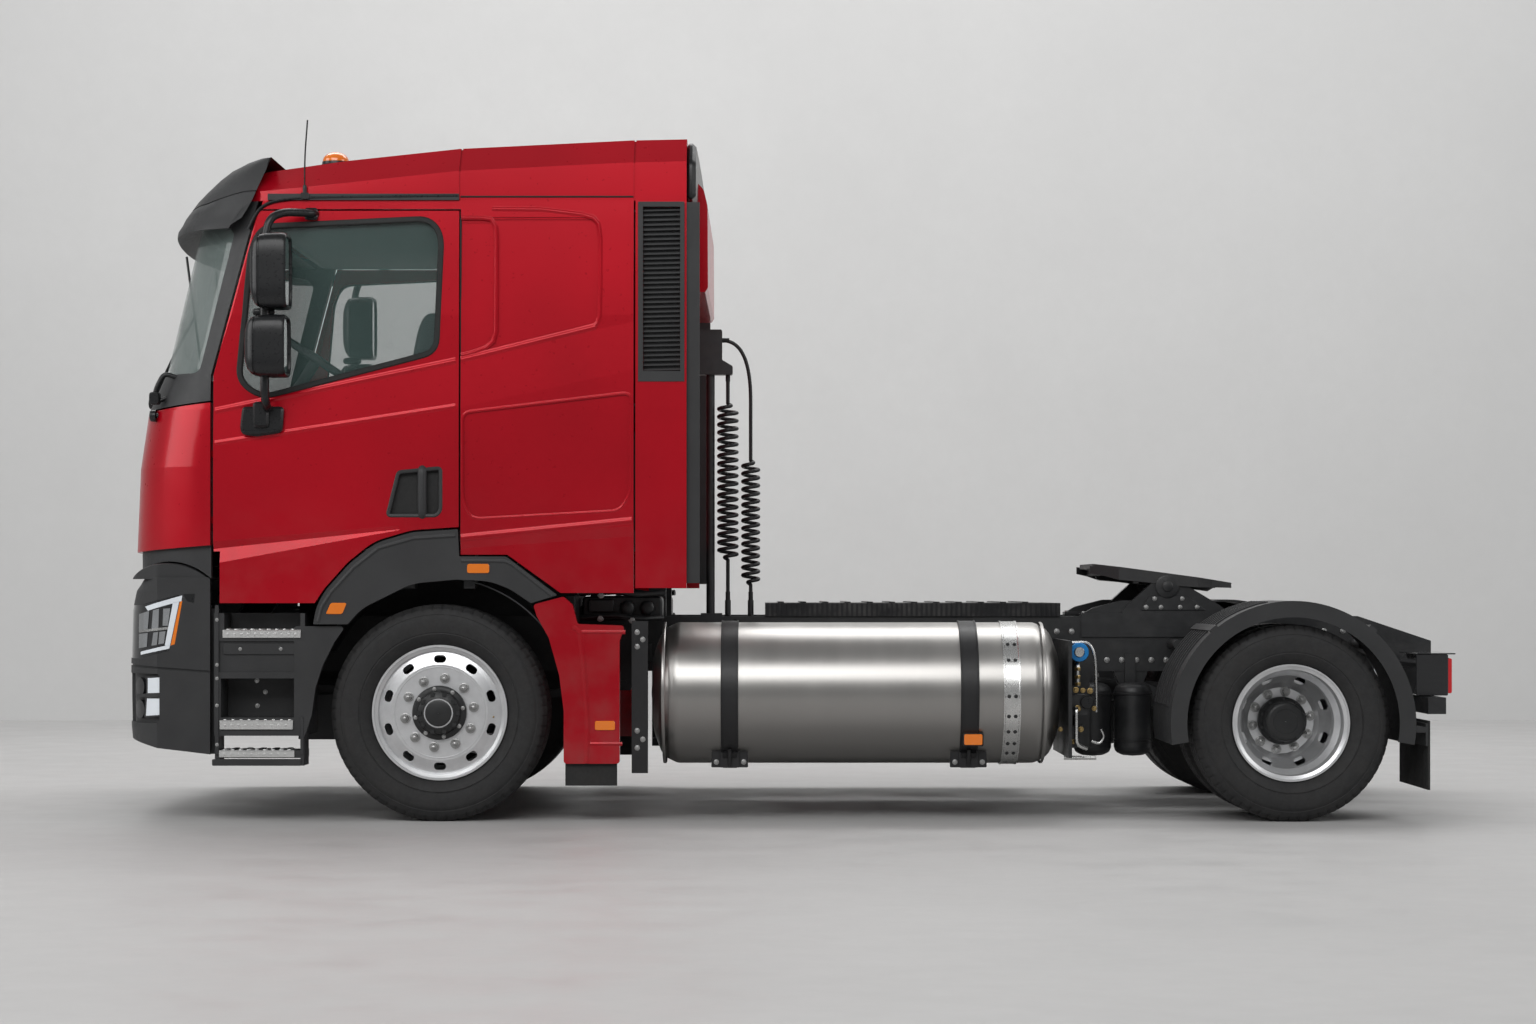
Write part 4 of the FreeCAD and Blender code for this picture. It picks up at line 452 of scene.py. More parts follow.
def material_bare_metal(name, colour, rough=(0.2, 0.34), brushing=(1, 1, 1), scale=160.0, strength=0.06, metal=1.0):
    """Bright metal with fine tool marks and a little dullness in patches."""
    n = Nodes(name)
    marks = n.noise(scale, 4.0, 0.65, brushing)
    cloud = n.noise(14.0, 4.0)
    tone = n.mix(n.ramp(cloud, 0.3, 0.75), rgb(colour), rgb(colour, 0.82))
    roughness = n.math("ADD", n.ramp(marks, 0.2, 0.8, *rough), n.ramp(cloud, 0.55, 0.8, 0.0, 0.12))
    return n.finish(Base_Color=tone, Metallic=metal, Roughness=roughness, Normal=n.bump(marks, strength, 0.0004))


def material_tyre(colours):
    """Rubber with a fine moulded skin, greyed by dust in patches."""
    n = Nodes("tyre rubber")
    dust = n.ramp(n.noise(11.0, 8.0, 0.7), 0.42, 0.85, 0.0, 0.34)
    tone = n.mix(n.ramp(n.noise(30.0, 5.0), 0.3, 0.75), rgb(colours.rubber), rgb(colours.rubber, 1.5))
    tone = n.mix(dust, tone, (0.075, 0.07, 0.066, 1))
    return n.finish(Base_Color=tone, Roughness=n.math("ADD", n.ramp(n.noise(80.0), 0.2, 0.8, 0.56, 0.72), dust),
                    Normal=n.bump(n.noise(650.0, 4.0), 0.16, 0.0005), Specular_IOR_Level=0.35)


def material_glass(name, colour, alpha):
    """Tinted safety glass: faint dust, clear reflection."""
    n = Nodes(name)
    dust = n.ramp(n.noise(16.0, 7.0, 0.65), 0.5, 0.9, 0.0, 0.04)
    shade = n.mix(n.ramp(n.noise(2.0), 0.3, 0.7), rgb(colour), rgb(colour, 1.2))
    material = n.finish(Base_Color=shade, Roughness=n.math("ADD", 0.02, dust), Alpha=n.math("ADD", alpha, dust),
                        IOR=1.5)
    material.surface_render_method = "BLENDED"
    return material


def material_lens(name, colour, glow=0.0, roughness=0.08):
    """Moulded lamp plastic with fluting."""
    n = Nodes(name)
    flute = n.wave(60.0, 0.4, "Z")
    tone = n.mix(n.ramp(flute, 0.2, 0.8, 0.0, 0.35), rgb(colour), rgb(colour, 0.72))
    glowing = {"Emission_Color": rgb(colour), "Emission_Strength": glow} if glow else {}
    return n.finish(Base_Color=tone, Roughness=roughness, Normal=n.bump(flute, 0.15, 0.0008), Coat_Weight=0.8,
                    **glowing)


def material_cloth(name, colour):
    """Woven seat cloth: crossed threads."""
    n = Nodes(name)
    weave = n.math("MAXIMUM", n.wave(220.0, 0.6, "Y"), n.wave(220.0, 0.6, "Z"))
    tone = n.mix(n.ramp(weave, 0.2, 0.9), rgb(colour, 0.7), rgb(colour, 1.3))
    return n.finish(Base_Color=tone, Roughness=0.9, Normal=n.bump(weave, 0.3, 0.0006), Sheen_Weight=0.3)


def material_chequer(name, colour):
    """Aluminium tread plate: crossed oval bumps, worn bright on top."""
    n = Nodes(name)
    mapping = n.add("ShaderNodeMapping", {"Vector": n.coord.outputs["Object"], "Rotation": (0, 0, math.pi / 4)})
    split = n.add("ShaderNodeSeparateXYZ", {0: mapping.outputs[0]})
    u = n.math("SINE", n.math("MULTIPLY", split.outputs[0], 190.0))
    v = n.math("SINE", n.math("MULTIPLY", split.outputs[1], 190.0))
    knob = n.ramp(n.math("MULTIPLY", u, v), 0.35, 0.8)
    grime = n.ramp(n.noise(12.0, 6.0), 0.4, 0.8, 0.0, 0.5)
    tone = n.mix(n.math("MULTIPLY", grime, n.math("SUBTRACT", 1.0, knob)), rgb(colour), (0.12, 0.115, 0.11, 1))
    return n.finish(Base_Color=tone, Metallic=0.9, Roughness=n.math("ADD", 0.3, n.math("MULTIPLY", grime, 0.4)),
                    Normal=n.bump(knob, 0.7, 0.0015))


def material_floor(name, colour, open_back=False):
    """Polished concrete, lightly clouded, that fades to a pale tone far out for the camera and, in part, for
    reflections; an open back lets the camera look through from behind."""
    n = Nodes(name)
    cloud = n.mix(n.ramp(n.noise(0.5, 6.0, 0.6), 0.3, 0.75), rgb(colour), rgb(colour, 0.93))
    fine = n.mix(n.ramp(n.noise(7.0, 8.0, 0.7), 0.35, 0.8, 0.0, 0.3), cloud, rgb(colour, 0.86))
    material = n.finish(Base_Color=fine, Roughness=n.ramp(n.noise(3.0, 5.0), 0.3, 0.7, 0.42, 0.62),
                        Normal=n.bump(n.noise(40.0, 5.0), 0.05, 0.001))
    front = n.out.inputs["Surface"].links[0].from_socket
    reach = n.add("ShaderNodeVectorMath", {0: n.coord.outputs["Object"]}, operation="LENGTH").outputs["Value"]
    away = n.math("MULTIPLY", n.ramp(reach, *FADE), n.seen())
    pale = n.add("ShaderNodeEmission", {"Color": PALE}).outputs[0]
    front = n.add("ShaderNodeMixShader", {0: away, 1: front, 2: pale}).outputs[0]
    if open_back:
        back = n.add("ShaderNodeNewGeometry").outputs["Backfacing"]
        clear = n.add("ShaderNodeBsdfTransparent").outputs[0]
        front = n.add("ShaderNodeMixShader", {0: back, 1: front, 2: clear}).outputs[0]
    n.surface(front)
    return material


MATERIALS = {}


def finishes(scene):
    """Every finish once, as name: (material, record slot)."""
    if MATERIALS:
        return MATERIALS
    c = scene.truck_colours
    grained, metal, lens = material_grained, material_bare_metal, material_lens
    plain = (1, 1, 1)
    MATERIALS.update({
        "paint": (material_red_paint(c), "red_paint"),
        "chassis": (material_chassis(c), "chassis_paint"),
        "plastic": (grained("black plastic", c.plastic), "black_plastic"),
        "gloss_plastic": (grained("smooth black plastic", (0.009, 0.0094, 0.0102), 500.0, 0.03, (0.24, 0.34), 0.05),
                          "black_plastic"),
        "grey": (grained("grey plastic", (0.17, 0.175, 0.18)), "grey_plastic"),
        "interior": (grained("cabin plastic", (0.05, 0.052, 0.055), 700.0, 0.25, (0.5, 0.7), 0.0), "interior"),
        "headliner": (material_cloth("headliner felt", (0.3, 0.31, 0.31)), "interior"),
        "tank": (material_tank_steel(c), "steel"),
        "bright": (metal("bright steel", (0.66, 0.66, 0.65)), "steel"),
        "strap": (grained("strap black", (0.014, 0.014, 0.015), 600.0, 0.1, (0.3, 0.45), 0.1), "chassis_paint"),
        "rim": (metal("polished rim", (0.72, 0.725, 0.735), (0.26, 0.4), metal=0.72), "rim_silver"),
        "nut": (metal("nut steel", (0.4, 0.4, 0.395), (0.28, 0.42), metal=0.85), "steel"),
        "hub": (grained("hub black", (0.016, 0.0165, 0.017), 500.0, 0.12, (0.3, 0.46), 0.15), "chassis_paint"),
        "iron": (grained("cast iron", (0.03, 0.03, 0.031), 260.0, 0.5, (0.45, 0.65), 0.3), "iron"),
        "tyre": (material_tyre(c), "tyre_rubber"),
        "rubber": (grained("black rubber", (0.013, 0.013, 0.013), 400.0, 0.2, (0.55, 0.75), 0.3), "rubber"),
        "glass": (material_glass("side glass", (0.12, 0.19, 0.178), 0.2), "glass"),
        "screen": (material_glass("windscreen glass", (0.16, 0.2, 0.19), 0.46), "glass"),
        "tread": (metal("step tread", (0.72, 0.72, 0.71), (0.3, 0.45), plain, 260.0, 0.2), "alloy"),
        "deck": (material_chequer("deck tread plate", (0.035, 0.035, 0.037)), "alloy"),
        "lamp_clear": (lens("clear lens", (0.72, 0.76, 0.8), 0.12), "lamp"),
        "lamp_dark": (lens("lamp body", (0.012, 0.0125, 0.014), 0.0, 0.12), "lamp"),
        "reflector": (metal("lamp reflector", (0.8, 0.82, 0.84), (0.06, 0.14)), "lamp"),
        "amber": (lens("amber lens", (0.8, 0.19, 0.006), 0.06), "amber"),
        "tail": (lens("red lens", (0.55, 0.008, 0.012), 0.1), "tail_red"),
        "mirror": (metal("mirror glass", (0.85, 0.87, 0.88), (0.01, 0.02), plain, 30.0, 0.0), "glass"),
        "blue": (grained("blue anodised cap", (0.01, 0.16, 0.42), 500.0, 0.08, (0.2, 0.3), 0.1), "grey_plastic"),
        "brass": (metal("brass fitting", (0.42, 0.3, 0.13), (0.26, 0.42)), "steel"),
        "cloth": (material_cloth("seat cloth", (0.045, 0.047, 0.052)), "seat_cloth"),
        "hose": (grained("hose black", (0.014, 0.014, 0.015), 500.0, 0.08, (0.28, 0.42), 0.1), "hose_black"),
    })
    return MATERIALS


NODE_FINISH = {
    "paint": ("cab_front", "side_panels", "rear_corners", "rear_wall", "roof", "door_left", "door_right", "guards"),
    "chassis": ("frame", "drive_shaft", "front_axle", "front_springs", "rear_axle", "rear_suspension", "air_tanks",
                "fifth_base", "tail_beam", "hose_stand", "valves"),
    "plastic": ("bumper", "steps", "fenders", "cab_neck", "screen_frame", "flares", "cab_trim"),
    "gloss_plastic": ("visor", "mirrors_left", "mirrors_right"),
    "interior": ("cab_floor", "dashboard"),
    "cloth": ("seats", "bunk"),
    "tank": ("gas_tanks",),
    "strap": ("tank_mounts",),
    "iron": ("engine", "knuckle_left", "knuckle_right", "fifth_plate"),
    "rim": ("front_rim_left", "front_rim_right", "rear_rims_left", "rear_rims_right"),
    "tyre": ("front_tyre_left", "front_tyre_right", "rear_tyres_left", "rear_tyres_right"),
    "rubber": ("flaps",),
    "glass": ("door_glass_left", "door_glass_right"),
    "screen": ("windscreen",),
    "deck": ("deck",),
    "lamp_dark": ("front_lamps", "tail_lamps"),
    "amber": ("roof_fittings",),
    "hose": ("hose_coil_1", "hose_coil_2", "hose_leads_1", "hose_leads_2"),
}


COLOUR = {"subtype": "COLOR", "size": 3, "min": 0, "max": 1}


class TruckColours(bpy.types.PropertyGroup):
    paint: FloatVectorProperty(
        name="Paint", description="Cab paint", default=(0.46, 0.002, 0.012), **COLOUR)
    chassis: FloatVectorProperty(
        name="Chassis", description="Frame and axle paint", default=(0.012, 0.0125, 0.0135), **COLOUR)
    plastic: FloatVectorProperty(
        name="Plastic", description="Bumper and flare plastic", default=(0.0255, 0.026, 0.027), **COLOUR)
    steel: FloatVectorProperty(
        name="Tank steel", description="Gas tank sheet", default=(0.5, 0.486, 0.468), **COLOUR)
    rubber: FloatVectorProperty(
        name="Rubber", description="Tyre rubber", default=(0.016, 0.016, 0.0165), **COLOUR)
    floor: FloatVectorProperty(
        name="Floor", description="Studio floor", default=(0.5, 0.495, 0.49), **COLOUR)


class TruckSizes(bpy.types.PropertyGroup):
    lens: FloatProperty(name="Lens", description="Focal length", default=68.65, min=20, max=200, unit="CAMERA")
    camera_back: FloatProperty(name="Camera distance", description="From the middle", default=14.25, min=5, max=40)
    camera_height: FloatProperty(name="Camera height", description="Over the floor", default=1.033, min=0.2, max=5)
    tread_blocks: IntProperty(name="Tread blocks", description="Round one tyre rib", default=64, min=12, max=120)
    coil_wire: FloatProperty(name="Hose", description="Air hose's diameter", default=0.018, min=0.004, max=0.03)


def side_y(x, z):
    """Distance of the cab's side from the middle at a place on it: its taper, less the shoulder's slope."""
    x, z = np.asarray(x, float), np.asarray(z, float)
    wall = np.interp(z, (960, 1837, 2017, 2700, 2764), (1250, 1250, 1248, 1228, 1226))
    low, top = np.interp(x, (-1000, 874), (1684, 1955)), np.interp(x, (-1000, 874), (1828, 2226))
    return np.minimum(wall, 1250 - 9 * np.clip((z - low) / (top - low), 0, 1))


def corner_y(x, out=0.0):
    """Distance of the bumper's side from the middle: straight, then an arc of its corner's radius."""
    x = np.asarray(x, float)
    arc = np.sqrt(np.maximum((CORNER_R + out) ** 2 - (x - CORNER_X) ** 2, 0)) + CORNER_Y
    return np.where(x >= CORNER_START, BUMPER_Y + out, arc)


def corner_patch(quad, out, thick, columns=14, rows=4):
    """Slab lying on the bumper's corner: four (x, z) corners blended evenly, set out from the surface by out."""
    q = np.asarray(quad, float)
    u, v = np.linspace(0, 1, columns)[:, None, None], np.linspace(0, 1, rows)[None, :, None]
    p = (q[0] * (1 - u) + q[1] * u) * (1 - v) + (q[3] * (1 - u) + q[2] * u) * v
    x, z = p[..., 0], p[..., 1]
    top = np.stack([x, -corner_y(x, out), z], -1)
    low = np.stack([x, -corner_y(x, out - thick), z], -1)
    rings = np.concatenate([top, low[:, ::-1]], 1)
    n = 2 * rows
    faces = grid_faces(columns, n, close_cols=True).tolist()
    faces += [list(range(n))[::-1], list(range((columns - 1) * n, columns * n))]
    return mm(rings.reshape(-1, 3)), faces


FRONT_WALL = [(289, 54), (300, 48), (303.5, 44.5), (312, 36), (322, 26), (334, 16), (346, 9), (352, 6.5), (354, 8),
              (358, 8), (360, 5), (380, 2), (400, 0.5), (420, 2), (432, 4), (434, 6), (438, 6.5), (440, 5), (455, 10),
              (464, 15), (468, 19), (470, 24), (478, 30), (483, 38), (484.3, 46)]


def tyre_part(wall, width, inner, x, z, crown, blocks):
    """Closed tyre: side wall, tread with four grooves, side wall, turned about the axle.

    radius = profile radius - shoulder notch - cross cut, both repeating with the block number round the tyre.
    """
    wall = np.asarray(wall, float)
    tread = []
    for k in range(1, 5):
        g = width * k / 5
        crest = crown - 0.8 * ((g - width / 2) / (width / 2)) ** 2
        tread += [(crest, g - 7), (crest - 13, g - 5), (crest - 13, g + 5), (crest, g + 7)]
    tread = np.asarray(tread)
    far = wall[::-1] * (1, -1) + (0, width)
    p = np.concatenate([wall, tread, far])
    edge = wall[-1, 1] + 2
    shoulder = (p[:, 0] > crown - 22) & ((p[:, 1] < edge) | (p[:, 1] > width - edge))
    inward = np.where(p[:, 1] < width / 2, 1.0, -1.0) * shoulder
    rib = (p[:, 0] > crown - 2) & ~shoulder
    steps = blocks * 6
    k = np.arange(steps)
    notch, cut = (k % 6 == 4)[:, None], (k % 6 == 1)[:, None]
    r = p[None, :, 0] - 3.5 * notch * shoulder - 3.5 * cut * rib
    w = p[None, :, 1] + 3.0 * notch * inward
    t = (2 * math.pi * k / steps)[:, None]
    verts = np.stack([x + r * np.cos(t), -(inner + w), z + r * np.sin(t)], -1)
    return mm(verts.reshape(-1, 3)), grid_faces(steps, len(p), close_rows=True, close_cols=True)


def cushion(low, high, crown=0.42, count=28):
    """Crowned pad between two corners in millimetres: a superellipsoid, its sides drawn in between the corners.

    Unit point = (cos u cos v, cos u sin v, sin u), each raised to a power below 1 with its sign kept.
    """
    low, high = np.asarray(low, float), np.asarray(high, float)
    u = np.linspace(-math.pi / 2, math.pi / 2, count)[:, None]
    v = np.linspace(-math.pi, math.pi, count * 2, endpoint=False)[None, :]
    power = lambda a, e: np.sign(a) * np.abs(a) ** e
    x = power(np.cos(u), crown) * power(np.cos(v), crown * 0.8)
    y = power(np.cos(u), crown) * power(np.sin(v), crown * 0.8)
    z = power(np.sin(u), crown * 1.5) * np.ones_like(v)
    pull = 1 - 0.035 * (np.cos(v * 2) ** 2) * np.cos(u)
    unit = np.stack([x * pull, y * pull, z], -1)
    verts = (low + high) / 2 + unit * (high - low) / 2
    return mm(verts.reshape(-1, 3)), grid_faces(count, count * 2, close_cols=True)


class TRUCK_OT_stage(bpy.types.Operator):
    """Floor, backdrop, lights, sky and camera"""
    bl_idname = "truck.stage"
    bl_label = "Stage"

    def execute(self, context):
        scene = context.scene
        sizes = scene.truck_sizes
        half = FLOOR_HALF
        floor = [(-half, -half, 0), (half, -half, 0), (half, half, 0), (-half, half, 0)]
        wall = [(-half, WALL_Y, 0), (half, WALL_Y, 0), (half, WALL_Y, WALL_TOP), (-half, WALL_Y, WALL_TOP)]
        for name, verts, material in (
                ("floor", floor, material_floor("studio floor", tuple(scene.truck_colours.floor))),
                ("backdrop", wall, material_floor("studio wall", WALL_COLOUR, True))):
            mesh = bpy.data.meshes.new(name)
            mesh.from_pydata(verts, [], [(0, 1, 2, 3)])
            mesh.materials.append(material)
            obj = bpy.data.objects.new(name, mesh)
            scene.collection.objects.link(obj)
        for name, where, size, power, look in LAMPS:
            light = bpy.data.lights.new(name, "AREA")
            light.shape = "RECTANGLE"
            light.size, light.size_y = size
            light.energy = power
            lamp = bpy.data.objects.new(name, light)
            lamp.location = where
            direction = mathutils.Vector(look) - mathutils.Vector(where)
            lamp.rotation_euler = direction.to_track_quat("-Z", "Y").to_euler()
            lamp.visible_camera = False
            scene.collection.objects.link(lamp)
        scene.world = bpy.data.worlds.new("studio")
        sky = Nodes("studio", scene.world)
        level = sky.ramp(sky.seen(), 0.0, 1.0, SKY_LIT, SKY_SEEN)
        sky.surface(sky.add("ShaderNodeBackground", {"Color": SKY_COLOUR, "Strength": level}).outputs[0])
        camera = bpy.data.cameras.new("camera")
        camera.lens = sizes.lens
        camera.sensor_width = 36.0
        camera.shift_y = HORIZON
        camera.clip_end = 200
        eye = bpy.data.objects.new("camera", camera)
        eye.location = (AXLE_X + CAMERA_X, -sizes.camera_back, sizes.camera_height)
        eye.rotation_euler = (math.pi / 2, 0, 0)
        scene.collection.objects.link(eye)
        scene.camera = eye
        scene.view_settings.view_transform = "Standard"
        return {"FINISHED"}


class TRUCK_OT_finishes(bpy.types.Operator):
    """Give every solid of the model its finish"""
    bl_idname = "truck.finishes"
    bl_label = "Finishes"

    def execute(self, context):
        table = finishes(context.scene)
        given = {node: finish for finish, nodes in NODE_FINISH.items() for node in nodes}
        missing = set(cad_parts) ^ set(given)
        if missing:
            raise RuntimeError("nodes without a finish: " + ", ".join(sorted(missing)))
        for node, finish in given.items():
            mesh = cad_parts[node].data
            mesh.materials.clear()
            mesh.materials.append(table[finish][0])
        return {"FINISHED"}


class TRUCK_OT_tyres(bpy.types.Operator):
    """Tyres with grooved treads, notched shoulders and ringed side walls"""
    bl_idname = "truck.tyres"
    bl_label = "Tyres"

    def execute(self, context):
        blocks = context.scene.truck_sizes.tread_blocks
        wall = np.asarray(FRONT_WALL)
        seat, crown = wall[0, 0], wall[-1, 0]
        front = [tyre_part(wall, 315, FRONT_TYRE_Y, *FRONT_HUB, 485, blocks)]
        narrow = np.stack([249 + (wall[:, 0] - seat) * (439.5 - 249) / (crown - seat), wall[:, 1] * 0.96], 1)
        rear = [tyre_part(narrow, 290, y, *REAR_HUB, 440, blocks - 4) for y in (935, 590)]
        for name, parts, body, node in (("tyre_front", front, "front_wheel", "front_tyre"),
                                        ("tyres_rear", rear, "rear_wheels", "rear_tyres")):
            for obj, side in zip(side_pieces(name, parts, (body + "_left", body + "_right"), "tyre"), SIDES):
                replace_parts(obj, f"{node}_{side}")
        return {"FINISHED"}


class TRUCK_OT_wheel_fittings(bpy.types.Operator):
    """Wheel nuts, hub covers, their bolts and the valve stems"""
    bl_idname = "truck.wheel_fittings"
    bl_label = "Wheel fittings"

    def execute(self, context):
        front, rear = ("front_wheel_left", "front_wheel_right"), ("rear_wheels_left", "rear_wheels_right")
        hub = [(r, FRONT_TYRE_Y + w) for r, w in (
            (119, 268), (121, 272), (121, 294), (112, 301), (99, 302), (97, 310), (92, 324), (74, 334.5), (66, 336),
            (64, 330), (60, 330), (58, 338), (50, 341), (1, 342))]
        ribs = []
        for k in np.arange(10) * math.pi / 5:
            x, z = 86 * math.cos(k), FRONT_HUB[1] + 86 * math.sin(k)
            ribs.append(box_part(at(x - 9, -1222, z - 9), at(x + 9, -1190, z + 9)))
        side_pieces("hub_front", [spun(hub, FRONT_HUB)] + ribs, front, "hub")
        for name, reach, centre, y, bodies in (("nuts_front", 155, FRONT_HUB, 1161, front),
                                               ("nuts_rear", 133, REAR_HUB, 920.5, rear)):
            washers = bolt_ring(10, reach, centre, y, 22, 7, 0.16, 20)
            nuts = bolt_ring(10, reach, centre, y + 5, 17, 20, 0.16)
            studs = bolt_ring(10, reach, centre, y + 24, 10, 10, 0.16, 12)
            side_pieces(name, washers + nuts + studs, bodies, "nut")
        side_pieces("hub_bolts_front", bolt_ring(8, 108, FRONT_HUB, 1186.5, 7, 6, 0.2), front, "nut")
        cover = [(107, 924), (108.5, 928), (108.5, 976), (104, 982), (95, 990), (92, 1002), (87, 1046), (80, 1053),
                 (73, 1054.5), (56, 1054.5), (54, 1052.5), (1, 1052.5)]
        side_pieces("hub_rear", [spun(cover, REAR_HUB)], rear, "hub")
        side_pieces("hub_bolts_rear", bolt_ring(10, 99, REAR_HUB, 985, 6, 6, 0.3), rear, "iron")
        stem = [(222, -1128, 455), (226, -1144, 459), (242, -1152, 467)]
        side_pieces("valve_stem_front", [bar(stem, 4, 8)], front, "brass")
        edge = [(298, 1164), (302.5, 1164), (303.5, 1161), (303.5, 1157), (300, 1155), (297, 1157)]
        side_pieces("rim_edge_front", [spun(edge, FRONT_HUB, 96, True)], front, "rim")
        disc_edge = [(200, 1160.5), (206, 1160.5), (205, 1163), (201, 1163)]
        side_pieces("disc_ring_front", [spun(disc_edge, FRONT_HUB, 96, True)], front, "rim")
        return {"FINISHED"}


class TRUCK_OT_tank_fittings(bpy.types.Operator):
    """Tank seams, the bright bolted band, strap feet and strut bolts"""
    bl_idname = "truck.tank_fittings"
    bl_label = "Tank fittings"

    def execute(self, context):
        centre = at(0, TANK_Y, TANK_Z)
        ring = lambda profile: turned_mesh(np.asarray(profile, float) * MM, centre, "x", 128, loop=True)
        seam = lambda x: ring([(319.6, x - 7), (321.2, x - 4), (322, x), (321.2, x + 4), (319.6, x + 7)])
        side_pieces("tank_seams", [seam(999), seam(TANK_END - 88)], "chassis", "tank")
        band = ring([(321, 2517), (327, 2517), (327, 2523), (324.6, 2526), (324.6, 2584), (327, 2587), (327, 2593),
                     (321, 2593)])
        studs = []
        for z in (790, 720, 560, 470, 400, 345, 300):
            sin = (z - TANK_Z) / 325.0
            out = np.array([0, -math.sqrt(1 - sin ** 2), sin])
            foot = centre + out * 324.6 * MM
            studs += [hex_part(foot + (x * MM, 0, 0), out, 6.5 * MM, 6 * MM) for x in (2540, 2570)]
        side_pieces("bright_band", [band], "chassis", "bright")
        side_pieces("band_studs", studs, "chassis", "hub")
        clamp = block((2538, 2572), (-1190, -1176), (688, 716), 3)
        edges, feet, foot_bolts = [], [], []
        for x in (1295.0, 2367.0):
            edges += [ring([(327, x - 39), (330, x - 38), (330, x - 34), (327, x - 33)]),
                      ring([(327, x + 33), (330, x + 34), (330, x + 38), (327, x + 39)])]
            for dx in (-46, 46):
                outline = [(x + dx * 1.8, 236), (x + dx * 1.75, 330), (x + dx * 1.0, 388), (x + dx * 0.55, 388),
                           (x + dx * 0.55, 236)]
                feet.append(plate(outline, "y", -1090, -1078, 6, 1.5))
            feet.append(block((x - 44, x + 44), (-1100, -1066), (236, 318), 4))
            foot_bolts += bolts([(x - 60, -1090, 260), (x + 63, -1090, 260)], OUT, 9, 9)
            feet.append(bar([(x, -1128, 318), (x, -1110, 268), (x, -1096, 240)], 9))
        side_pieces("strap_feet", edges + feet, "chassis", "strap")
        side_pieces("tank_bolts", foot_bolts + [clamp] + bolts(
            [(883, -1170, z) for z in (844, 780, 404, 328)] + [(908, -1170, z) for z in (812, 366)], OUT, 9, 8),
            "chassis", "nut")
        return {"FINISHED"}


class TRUCK_OT_valves(bpy.types.Operator):
    """Regulator dial, pipes, brass fittings and filler behind each tank"""
    bl_idname = "truck.valves"
    bl_label = "Valves"

    def execute(self, context):
        dial = (2874, 752)
        rim = [(41, 990), (43, 994), (43, 1014), (41, 1018), (25, 1019), (23, 1016), (23, 1009)]
        side_pieces("dial_rim", [spun(rim, dial, 48, True)], "chassis", "blue")
        face = [(23.5, 1008), (23.5, 1020), (20, 1024), (10, 1025), (1, 1025)]
        side_pieces("dial_face", [spun(face, dial, 48)], "chassis", "bright")
        steel = [bar([(2819, -985, 793), (2924, -985, 797), (2950, -985, 730), (2954, -985, 590), (2954, -985, 480)],
                     7, bend=34),
                 bar([(2868, -950, 712), (2868, -990, 690), (2868, -990, 598)], 12, bend=14),
                 bar([(2850, -1085, 500), (2850, -1115, 500), (2850, -1115, 340), (2900, -1080, 320)], 9, bend=24),
                 bar([(2804, -1010, 275), (2951, -1010, 275)], 9),
                 bar([(2973, -1000, 403), (2990, -1000, 370), (2966, -1000, 335), (2930, -1000, 350)], 6, bend=20)]
        side_pieces("valve_pipes", steel, "chassis", "bright")
        brass = []
        for x, z, r in ((2832, 756, 12), (2853, 583, 13), (2885, 581, 11), (2917, 579, 13), (2861, 500, 14),
                        (2936, 500, 11), (2785, 406, 10), (2876, 406, 12), (2842, 350, 10)):
            brass += bolts([(x, -1060 if z < 600 else -952, z)], OUT, 0.8 * r, 24)
        brass += [button((2868, -990, z), 14, 16, 6, axis=UP) for z in (600, 632, 668)]
        side_pieces("valve_fittings", brass, "chassis", "brass")
        cap = [(30, 1060), (30, 1078), (26, 1082), (1, 1082)]
        side_pieces("filler_cap", [spun(cap, (2902, 528), 32), block((2824, 2850), (-1064, -1030), (560, 600), 4)],
                    "chassis", "gloss_plastic")
        return {"FINISHED"}


class TRUCK_OT_steps(bpy.types.Operator):
    """Aluminium treads with raised grips, the hanging step and panel screws"""
    bl_idname = "truck.steps"
    bl_label = "Steps"

    def execute(self, context):
        metal = []
        for x0, x1, z, tall in ((-957, -610, 854, 34), (-970, -645, 452, 39), (-973, -638, 318, 29)):
            metal.append(block((x0, x1), (-1236, -1228), (z - tall, z), 4, 1.5))
            metal.append(block((x0, x1), (-1234, -1086), (z - 4, z + 3), 3, 1.2))
            grips = np.stack(np.meshgrid(np.arange(x0 + 22, x1 - 12, 36.0), (-1222, -1188, -1154, -1120)), -1)
            metal += [button((px, py, z + 2), 9, 5, 12, axis=UP) for px, py in grips.reshape(-1, 2)]
            metal += [button((px, -1235, z - tall / 2), 6, 2.5, 10) for px in np.arange(x0 + 24, x1 - 12, 30.0)]
        side_pieces("step_treads", metal, "chassis", "tread")
        panels = [plate([(-958, 746), (-634, 746), (-626, 796), (-958, 796)], "y", -1226, -1218, 12, 2),
                  block((-1004, -608), (-1237, -1205), (252, 281), 6, 3),
                  block((-991, -974), (-1234, -1224), (300, 966), 5, 2),
                  block((-612, -598), (-1232, -1224), (300, 470), 5, 2)]
        side_pieces("step_panels", panels, "chassis", "plastic")
        screws = bolts([(-982, -1234, z) for z in (346, 520, 640, 700, 900)], OUT, 6, 4)
        screws += bolts([(-880, -1226, 771), (-700, -1226, 771)], OUT, 6, 4)
        screws += bolts([(-836, -1050, 625), (-798, -1050, 574), (-834, -1050, 511)], OUT, 8, 5)
        side_pieces("step_screws", screws, "chassis", "nut")
        return {"FINISHED"}


